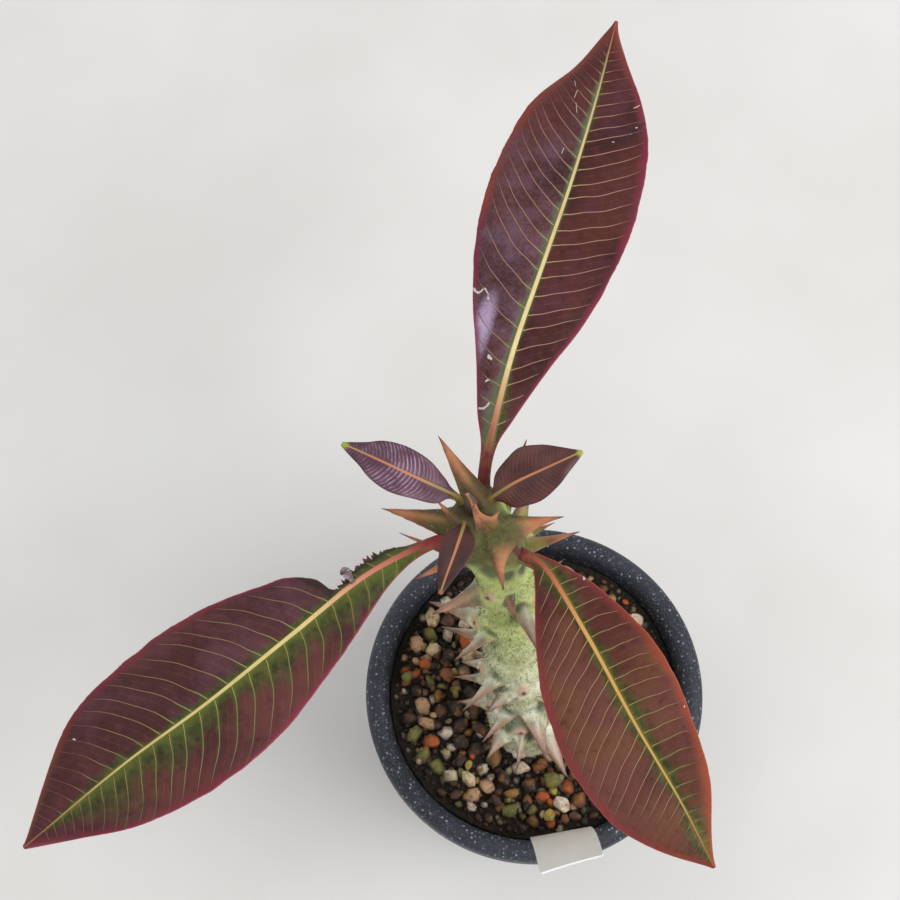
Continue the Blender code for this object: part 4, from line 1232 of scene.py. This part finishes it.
veins = Growth("side_veins", width="Float", taper="Float")
curves = veins.node("GeometryNodeMeshToCurve", Mesh=veins.given("Geometry"))
ring = veins.node("GeometryNodeCurvePrimitiveCircle", "Curve", Resolution=5, Radius=1.0)
thick = veins.given("width") * (1 - veins.stored("reach") * veins.given("taper"))
cords = veins.node("GeometryNodeCurveToMesh", Curve=curves, Profile_Curve=ring, Scale=thick, Fill_Caps=True)
veins.end(cords)

# Each trait as it is on the back, the left and the right leaf. A pair of numbers goes from the left side of
# the blade to the right one, or from its foot to its tip.
LEAF_LOOKS = {
    "dark": ((58, 28, 28), (70, 36, 36), (82, 42, 34)),
    "warm": ((84, 42, 36), (94, 52, 48), (106, 66, 46)),
    "cool": ((84, 44, 60), (94, 50, 58), (100, 48, 52)),
    "painted_sheen": ((0.65, 0.0), (0.0, 0.3), (0.0, 0.15)),
    "painted_sheen_color": ((130, 104, 120), (96, 78, 92), (104, 72, 70)),
    "shine": (0.9, 0.0, 0.0),
    "sides_green": ((0.5, 0.25), (1.15, 0.25), (0.9, 0.5)),
    "base_green": (1.2, 2.0, 1.8),
    "green_width": ((1.6, 3.2), (3.8, 7.6), (0.8, 4.8)),
    "green_end": ((0.95, 0.8), (0.97, 0.74), (1.0, 0.92)),
    "near_green": ((140, 142, 84), (112, 120, 44), (124, 112, 44)),
    "muted": (0.7, 0.0, 0.0),
    "edge": ((128, 46, 66), (122, 44, 62), (132, 48, 52)),
    "edge_warm": ((134, 62, 50), (124, 62, 44), (152, 68, 42)),
    "edge_line": ((176, 80, 102), (190, 90, 110), (190, 104, 92)),
    "edge_width": ((0.8, 4.6), (0.6, 3.8), (3.0, 4.2)),
    "warm_sides": ((0.3, -0.02), (-0.6, 0.1), (0.5, -0.1)),
    "stalk": ((112, 44, 48), (158, 66, 70), (124, 52, 52)),
    "rib_half": (0.72, 0.7, 0.62),
    "rib_foot": ((0.15, (190, 118, 96)), (0.2, (204, 124, 108)), (0.2, (196, 116, 82))),
    "rib_pale": ((0.26, (236, 214, 160)), (0.36, (222, 204, 138)), (0.34, (214, 164, 96))),
    "rib_far": ((214, 186, 140), (200, 182, 120), (192, 158, 88)),
    "vein_near": ((180, 160, 108), (160, 156, 88), (160, 132, 76)),
    "vein_far": ((164, 124, 108), (136, 110, 78), (150, 108, 80)),
}
# Cracks and tears as (along, across) of both ends and the width.
PALE_TEARS = {
    "leaf_back": (
        ((49.0, -14.0), (48.0, -12.6), 0.34), ((48.0, -12.6), (49.6, -11.4), 0.3),
        ((49.6, -11.4), (47.6, -9.6), 0.26), ((21.6, -4.4), (22.1, -3.2), 0.3),
        ((22.1, -3.2), (23.6, -2.2), 0.26), ((34.3, -5.4), (34.0, -4.6), 0.3),
        ((28.5, -4.4), (28.9, -3.8), 0.3), ((113.9, -6.5), (112.2, -5.9), 0.08),
        ((111.0, -5.2), (108.0, -5.4), 0.08), ((107.0, -4.6), (103.9, -3.7), 0.08),
        ((92.8, -4.3), (90.7, -4.4), 0.09), ((110.2, 9.8), (112.0, 11.0), 0.12),
        ((104.0, 11.6), (104.3, 11.9), 0.2), ((101.6, 10.6), (101.8, 10.8), 0.24),
        ((97.6, 7.0), (97.7, 7.2), 0.24),
    ),
    "leaf_left": (((102.7, 11.6), (103.0, 11.9), 0.24), ((33.2, 1.6), (33.9, 3.2), 0.3)),
    "leaf_right": (((19.0, -6.7), (19.6, -6.2), 0.3), ((57.8, -12.2), (58.2, -12.0), 0.16)),
}
DARK_TEARS = {
    "leaf_back": (
        ((107.0, 13.2), (101.8, 10.8), 0.34), ((101.8, 10.8), (99.7, 9.6), 0.28),
        ((99.7, 9.6), (95.5, 4.6), 0.2), ((34.0, -5.0), (32.4, -4.2), 0.24),
        ((31.0, -4.9), (29.6, -4.0), 0.3), ((27.6, -4.6), (26.4, -3.4), 0.22),
    ),
    "leaf_left": (
        ((38.4, 11.0), (35.6, 2.2), 1.3), ((35.4, 2.0), (30.0, 1.6), 0.5), ((30.0, 2.4), (15.0, 2.8), 0.5),
        ((60.0, 13.0), (61.2, 13.6), 0.3),
    ),
    "leaf_right": (((62.0, -9.6), (62.2, -9.4), 0.3),),
}
# Where a lilac-white highlight is painted on the back leaf: along and across at its middle, then its reach
# along and across.
SHINE = (40.0, -9.0, 10.0, 2.8)


def stroke(along, across, start, stop, width):
    """1 on a torn line of a leaf between two points given as (along, across), 0 off it."""
    step_along, step_across = stop[0] - start[0], stop[1] - start[1]
    length = step_along ** 2 + step_across ** 2
    share = ((along - start[0]) * step_along + (across - start[1]) * step_across) / length
    share = share.within(0.0, 1.0)
    off_along = along - start[0] - share * step_along
    off_across = across - start[1] - share * step_across
    return ((off_along ** 2 + off_across ** 2) ** 0.5).above(width, width * 0.6)


def grown_finish(name, look, length):
    """Leathery maroon blade: green by the midrib, crimson at the margin, cream midrib, red stalk."""
    made = Finish(name + "_skin", Specular_IOR_Level=0.16)
    along, across, margin, vein = (made.trait(trait) for trait in ("along", "across", "margin", "vein"))
    share = along / length
    broad = made.grain(34.0, 2.0, 0.5)
    clouds = made.grain(80.0, 4.0, 0.6)
    mottle = made.grain(420.0, 5.0, 0.65)
    cells = made.grain(2200.0, 3.0, 0.6)
    dusty = made.grain(1500.0, 4.0, 0.7)
    right_side = across.above(-0.2, 0.2)
    left_side = 1 - right_side

    def sided(pair):
        return left_side * pair[0] + right_side * pair[1]

    def from_foot(pair):
        return share * (pair[1] - pair[0])

    made.base(made.mix(broad.above(0.38, 0.62), look["dark"], look["warm"]))
    made.lay(clouds.above(0.45, 0.7) * 0.6, look["cool"])
    made.lay(mottle.above(0.5, 0.75) * 0.25, (116, 66, 62))
    made.lay(mottle.above(0.48, 0.28) * 0.45, (44, 20, 22))
    # Painted sheen: lilac patches that stand for the reflection on the gloss, strongest towards the foot.
    painted_sheen = (clouds * 0.7 + dusty * 0.4).above(0.4, 0.75) * sided(look["painted_sheen"])
    made.lay(painted_sheen * share.above(1.1, 0.3), look["painted_sheen_color"])
    # A painted highlight near the left margin of the back leaf.
    shine_far = ((along - SHINE[0]) / SHINE[2]) ** 2 + ((across - SHINE[1]) / SHINE[3]) ** 2
    made.lay((shine_far + dusty * 1.4).above(2.0, 0.5) * look["shine"], (182, 162, 194))

    from_rib = abs(across)
    rib_half = look["rib_half"] * (1 - 0.86 * share)
    from_vein = abs(vein.math("FRACT", vein + 0.5) * 2 - 1)
    width = look["green_width"][0] + from_foot(look["green_width"])
    width = width * (0.25 + from_vein.above(0.45, 0.0) * 0.9 + clouds.above(0.3, 0.7) * 0.9)
    width = width * sided(look["sides_green"]) + share.above(0.28, 0.14) * look["base_green"]
    width = width * share.above(*look["green_end"])
    fall = (from_rib - rib_half) / width.math("MAXIMUM", width, 0.05)
    green = made.mix(mottle.above(0.3, 0.7), (40, 54, 20), (72, 86, 38))
    green = made.mix(left_side * look["muted"], green, (104, 118, 88))
    green = made.mix(fall.above(0.5, 0.0) * 0.5, green, look["near_green"])
    made.lay(fall.above(1.9, 0.1) * 0.92, green)
    made.lay(from_vein.above(0.14, 0.0) * fall.above(2.4, 0.3) * 0.4, (136, 134, 56))
    made.lay(from_vein.above(0.93, 1.0) * mottle.above(0.35, 0.6) * 0.3, (132, 84, 70))

    edge_width = look["edge_width"][0] + from_foot(look["edge_width"])
    warmth = (broad * 0.6 + share * 0.8 + sided(look["warm_sides"])).above(0.92, 1.1)
    edge_color = made.mix(warmth, look["edge"], look["edge_warm"])
    made.lay((margin + clouds * 4.0 - 1.6).above(edge_width, 0.3) * 0.8, edge_color)
    made.lay(margin.above(0.36, 0.12) * 0.45, look["edge_line"])
    below = made.mix(clouds.above(0.3, 0.7), (120, 128, 84), (136, 112, 92))
    made.lay(made.trait("under") * 0.85, below)
    rib_color = made.ramp(
        share, (0.0, (84, 34, 38)), (0.08, look["stalk"]), look["rib_foot"], look["rib_pale"],
        (0.78, look["rib_far"]), (0.97, (160, 98, 80)),
    )
    rib_color = made.mix(mottle.above(0.4, 0.7) * 0.25, rib_color, (180, 134, 84))
    rib = (rib_half - from_rib).above(-0.1, 0.1)
    made.lay(rib.math("MAXIMUM", rib, share.above(0.11, 0.07)), rib_color)
    wavy = along + (mottle - 0.5) * 2.0
    for start, stop, width in DARK_TEARS[name]:
        made.lay(stroke(wavy, across, start, stop, width) * 0.75, (44, 40, 32))
    for start, stop, width in PALE_TEARS[name]:
        made.lay(stroke(wavy, across, start, stop, width) * 0.9, (208, 204, 192))
    made.paint("Roughness", 0.42 + cells * 0.2)
    made.emboss(cells * 0.5 + mottle * 0.8, 0.28)
    return made


# The scrap of blade left standing at the torn margin: points on its line with half its width.
FLAP_LINE = (
    (-46.2, 12.3, 147.2, 0.5), (-46.8, 12.9, 148.6, 0.6), (-47.4, 13.6, 149.4, 1.1),
    (-48.2, 14.6, 149.4, 1.3), (-48.7, 15.2, 148.6, 1.0), (-48.6, 15.2, 147.8, 0.6),
)
FLAP_ALONG_TEAR = (-0.64, 0.77, 0.0)
FLAP_THICK = 0.22
FLAP_ROWS = 24
FLAP_SIDES = 12
FLAP_BOW = 0.5


def torn_flap():
    """The scrap of blade at the torn margin, dried grey and rolled back over itself."""
    line, _ = spline(FLAP_LINE, FLAP_ROWS)
    ways = unit(np.gradient(line[:, :3], axis=0))
    wide = unit(np.cross(ways, np.array(FLAP_ALONG_TEAR)))
    thick = np.cross(ways, wide)
    turns = np.linspace(0, 2 * math.pi, FLAP_SIDES, endpoint=False)
    points = []
    for row in range(FLAP_ROWS):
        for turn in turns:
            out = wide[row] * math.cos(turn) * line[row, 3] + thick[row] * math.sin(turn) * FLAP_THICK
            points.append(line[row, :3] + out + thick[row] * FLAP_BOW * math.cos(turn) ** 2)
    dried = Finish("dried_flap", Roughness=0.6)
    spots = dried.grain(900.0, 3.0, 0.6)
    dried.base(dried.mix(spots.above(0.35, 0.65), (92, 70, 78), (150, 128, 132)))
    return surface("torn_flap", points, tube_faces(FLAP_ROWS, FLAP_SIDES, closed=True), dried)


for number, (name, leaf) in enumerate(LEAVES.items()):
    look = {trait: values[number] for trait, values in LEAF_LOOKS.items()}
    form = blade_form(leaf)
    blade = leaf_blade(name + "_body", form, grown_finish(name, look, float(form["run"][-1])))
    cord = Finish(name + "_veins", Roughness=0.45)
    near, far = look["vein_near"], look["vein_far"]
    cord.base(cord.ramp(cord.trait("reach"), (0.0, near), (0.3, far), (0.75, far), (1.0, (116, 68, 64))))
    lines = vein_lines(name + "_lines", form)
    parts = [blade, veins.grow(lines, cord, width=VEIN_WIDTH * MM, taper=VEIN_TAPER)]
    bpy.data.objects.remove(lines)
    if "torn" in leaf:
        parts.append(torn_flap())
    settle(joined(name + "_blade", *parts), "grown_leaf", name)

# Young leaves and bud
# Three half-grown leaves and the closed bud in the crown, each one living piece, purple and pleated across.
# They sit on short stalks between the scales of the crown, with an orange midrib and a yellow-green tip.
YOUNG_VEINS = (0.25, 0.3, 0.4, 0.01, 0.02)
YOUNG_LEAF = {
    "rib": 0.9, "fold": 9.0, "droop": 0.6, "wave": 0.3, "waves": 3.0, "stations": 200, "roll": 0.0,
    "veins": {"left": YOUNG_VEINS, "right": YOUNG_VEINS},
}
YOUNG = {
    "young_leaf_left": {
        "midrib": ((-20.7, 31.9, 146.6), (-22.9, 33.1, 149.6), (-32.6, 36.5, 153.9), (-42.2, 40.3, 156.7),
                   (-48.9, 43.0, 158.0)),
        "left": ((0, 0.9), (4.5, 1.3), (7.5, 3.8), (13, 5.0), (19, 6.0), (25, 5.0), (29, 3.0), (34.5, 0.45)),
        "right": ((0, 0.9), (4.5, 1.3), (7.5, 3.0), (13, 5.1), (19, 5.9), (25, 4.8), (29, 2.9), (34.5, 0.45)),
        "fold": 10.0, "first": 4.5, "pitch": {"left": 1.0, "right": 1.0}, "pillow": 0.34, "seed": 12,
    },
    "young_leaf_right": {
        "midrib": ((-15.0, 31.7, 146.6), (-12.6, 33.0, 149.6), (-7.9, 35.3, 152.5), (-0.8, 38.0, 155.4),
                   (7.6, 41.6, 157.0)),
        "left": ((0, 0.9), (4, 1.5), (7, 4.4), (11, 6.1), (15, 7.1), (20, 5.8), (24, 3.5), (29, 0.45)),
        "right": ((0, 0.9), (4, 1.6), (7, 5.0), (11, 6.4), (15, 6.7), (20, 5.3), (24, 3.0), (29, 0.45)),
        "first": 4.0, "pitch": {"left": 0.95, "right": 0.95}, "pillow": 0.22, "seed": 14,
    },
    "young_leaf_front": {
        "midrib": ((-19.8, 27.6, 146.4), (-20.5, 24.4, 149.4), (-22.3, 18.4, 151.9), (-24.0, 13.6, 152.0),
                   (-25.8, 8.7, 150.4)),
        "left": ((0, 0.9), (3.5, 1.4), (6, 3.3), (9, 3.9), (13, 3.2), (17, 1.9), (21, 0.45)),
        "right": ((0, 0.9), (3.5, 1.4), (6, 3.1), (9, 3.9), (13, 3.3), (17, 2.1), (21, 0.45)),
        "fold": 16.0, "droop": 0.5, "wave": 0.2, "waves": 2.0, "stations": 140,
        "first": 3.5, "pitch": {"left": 0.9, "right": 0.9}, "pillow": 0.18, "seed": 16,
    },
    "bud": {
        "midrib": ((-17.9, 29.7, 146.8), (-18.1, 29.8, 150.0), (-18.6, 30.4, 153.0), (-19.6, 31.4, 156.0)),
        "left": ((0, 0.85), (3, 1.0), (5, 1.4), (8, 1.0), (10.5, 0.45)),
        "right": ((0, 0.85), (3, 1.0), (5, 1.4), (8, 1.0), (10.5, 0.45)),
        "rib": 0.85, "fold": 24.0, "droop": 0.0, "wave": 0.0, "waves": 1.0, "stations": 80, "roll": 150.0,
        "first": 3.0, "pitch": {"left": 1.2, "right": 1.2}, "pillow": 0.1, "seed": 18,
    },
}
# Dark and light purple, how strong the violet gleam painted as a highlight on the pleat crests is, and the
# colour of the tip.
YOUNG_LOOKS = {
    "young_leaf_left": ((84, 50, 66), (112, 76, 90), 0.85, (150, 160, 64)),
    "young_leaf_right": ((76, 40, 38), (102, 58, 50), 0.0, (166, 176, 70)),
    "young_leaf_front": ((62, 35, 34), (82, 47, 43), 0.0, (150, 100, 66)),
    "bud": ((74, 44, 48), (112, 72, 70), 0.2, (178, 124, 112)),
}


def young_finish(name, dark, light, gleam, tip_color, length):
    """Purple pleated blade with an orange midrib that is yellow-green at both ends."""
    made = Finish(name + "_skin", Specular_IOR_Level=0.3, Coat_Weight=0.12, Coat_Roughness=0.25)
    along, across, margin, vein = (made.trait(trait) for trait in ("along", "across", "margin", "vein"))
    share = along / length
    clouds = made.grain(160.0, 4.0, 0.6)
    cells = made.grain(2400.0, 3.0, 0.6)
    streaky = made.grain(500.0, 3.0, 0.6)
    from_vein = abs(vein.math("FRACT", vein + 0.5) * 2 - 1)
    made.base(made.mix(clouds.above(0.35, 0.7), dark, light))
    # Painted shade in the grooves of the pleats, along the veins.
    made.lay(from_vein.above(0.5, 0.0) * 0.4, (60, 30, 38))
    # A painted violet highlight on the crests of the pleats.
    gleaming = from_vein.above(0.6, 1.0) * (clouds * 0.6 + streaky * 0.6).above(0.5, 0.72)
    made.lay(gleaming * share.above(0.25, 0.5) * gleam, (180, 158, 196))
    made.lay(margin.above(0.7, 0.1) * 0.6, (72, 42, 50))
    made.lay(made.trait("under") * 0.6, (112, 96, 78))
    rib_color = made.ramp(
        share, (0.0, (120, 104, 52)), (0.25, (150, 128, 62)), (0.4, (192, 124, 84)), (0.8, (182, 116, 82)),
        (0.95, (150, 146, 66)),
    )
    rib = (0.44 - abs(across) - share * 0.26).above(-0.08, 0.08)
    made.lay(rib.math("MAXIMUM", rib, share.above(0.14, 0.08)), rib_color)
    made.lay((share + clouds * 0.06 - abs(across) * 0.02).above(0.95, 1.01), tip_color)
    made.paint("Roughness", 0.26 + cells * 0.18)
    made.emboss(cells, 0.15)
    return made


for name, leaf in YOUNG.items():
    form = blade_form({**YOUNG_LEAF, **leaf})
    finish = young_finish(name, *YOUNG_LOOKS[name], float(form["run"][-1]))
    settle(leaf_blade(name + "_blade", form, finish), "young_leaf", name)

# Label
# A blank plant tag cut from soft white plastic sheet, its point pushed into the soil against the front wall.
# It bends out over the rim.
LABEL_RUN = (
    (34.2, 48.0), (36.2, 62.0), (37.7, 74.0), (38.35, 79.0), (40.6, 92.0), (44.2, 105.0), (49.8, 117.0),
)
LABEL_WIDTH = 16.0
LABEL_THICK = 0.5
LABEL_BEARING = -80.0
LABEL_TWIST = 6.0
LABEL_SHIFT = -2.5
LABEL_BOW = 0.2
LABEL_POINT = 7.0
POINT_LENGTH = 14.0
LABEL_ROWS = 60
LABEL_COLUMNS = 12
LABEL_CORNER = 0.4
LABEL_CREASE = 45.0

label_finish = Finish("label_plastic", Roughness=0.4, Subsurface_Weight=0.1, Subsurface_Scale=0.001)
scuff = label_finish.grain(90.0, 5.0, 0.7)
_, _, level = label_finish.split(label_finish.place)
label_finish.base(label_finish.mix(scuff.above(0.4, 0.7), (240, 240, 236), (246, 246, 243)))
label_finish.lay((level / MM + scuff * 10).above(84.0, 74.0) * 0.5, (150, 134, 110))
label_finish.paint("Roughness", 0.32 + scuff * 0.2)
label_finish.emboss(scuff, 0.1)

label_line, label_far = spline([(reach, 0, height) for reach, height in LABEL_RUN], LABEL_ROWS)
bearing = math.radians(LABEL_BEARING)
out = Vector((math.cos(bearing), math.sin(bearing), 0))
points = []
for row in range(LABEL_ROWS):
    reach, _, height = label_line[row]
    before, after = label_line[max(row - 1, 0)], label_line[min(row + 1, LABEL_ROWS - 1)]
    share = max(0.0, (height - SOIL_LEVEL) / (LABEL_RUN[-1][1] - SOIL_LEVEL))
    turned_by = bearing + math.pi / 2 + math.radians(LABEL_TWIST) * share
    across = Vector((math.cos(turned_by), math.sin(turned_by), 0))
    middle = out * reach + across * LABEL_SHIFT * share + UP * height
    climb = (out * (after[0] - before[0]) + UP * (after[2] - before[2])).normalized()
    face = climb.cross(across).normalized()
    half = LABEL_WIDTH / 2 - LABEL_POINT * max(0.0, 1 - label_far[row] / POINT_LENGTH)
    to_top = label_far[-1] - label_far[row]
    if to_top < LABEL_CORNER:
        half -= LABEL_CORNER - math.sqrt(LABEL_CORNER ** 2 - (LABEL_CORNER - to_top) ** 2)
    for side in (1, -1):
        for step in range(LABEL_COLUMNS + 1):
            wide = (-1 + 2 * step / LABEL_COLUMNS) * side
            bow = LABEL_BOW * (1 - wide ** 2) * share
            points.append(middle + across * half * wide - face * (side * LABEL_THICK / 2 - bow))
faces = tube_faces(LABEL_ROWS, 2 * (LABEL_COLUMNS + 1), closed=True)
label = surface("plant_label", points, faces, label_finish)
label.data.set_sharp_from_angle(angle=math.radians(LABEL_CREASE))
settle(label, "label_plastic", "label")

# Studio
# A pale floor, a wide soft window of light from the right, a weaker one from behind on the left, the camera.
FLOOR = 3000
WINDOW_POWER = 10.4
FILL_POWER = 2.7
SKY_POWER = 0.65
CAMERA_PLACE = (-29.0, -100.0, 604.0)
CAMERA_TIP = 17.6
CAMERA_ROLL = -0.7
LENS = 80.0
SENSOR = 36.0

floor_finish = Finish("studio_floor", Roughness=0.7)
veil = floor_finish.grain(9.0, 3.0)
floor_finish.base(floor_finish.mix(veil.above(0.3, 0.7), (222, 220, 217), (230, 229, 227)))
corners = [(-FLOOR, -FLOOR, 0), (FLOOR, -FLOOR, 0), (FLOOR, FLOOR, 0), (-FLOOR, FLOOR, 0)]
surface("floor", corners, [(0, 1, 2, 3)], floor_finish)


def soft_light(name, place, aim, size, power, color):
    lamp = bpy.data.lights.new(name, "AREA")
    lamp.shape = "DISK"
    lamp.size = size
    lamp.energy = power
    lamp.color = color
    made = shown(name, lamp)
    made.location = place
    made.rotation_euler = (Vector(aim) - Vector(place)).to_track_quat("-Z", "Y").to_euler()


soft_light("window", (0.85, -0.3, 1.0), (0, 0.03, 0.1), 1.0, WINDOW_POWER, (1.0, 1.0, 1.0))
soft_light("fill", (-0.8, 0.7, 1.1), (0, 0, 0.1), 1.2, FILL_POWER, (0.96, 0.98, 1.0))
world = bpy.data.worlds.new("studio")
world.use_nodes = True
sky = world.node_tree.nodes["Background"].inputs
sky["Color"].default_value = (1.0, 1.0, 1.0, 1.0)
sky["Strength"].default_value = SKY_POWER
bpy.context.scene.world = world
bpy.context.scene.view_settings.view_transform = "Standard"

camera_data = bpy.data.cameras.new("camera")
camera_data.lens = LENS
camera_data.sensor_width = SENSOR
camera_data.clip_end = 20.0
camera = shown("camera", camera_data)
aim = Matrix.Rotation(math.radians(CAMERA_ROLL), 4, "Y") @ Matrix.Rotation(math.radians(CAMERA_TIP), 4, "X")
camera.matrix_world = Matrix.Translation(Vector(CAMERA_PLACE) * MM) @ aim
bpy.context.scene.camera = camera

bpy.context.view_layer.update()
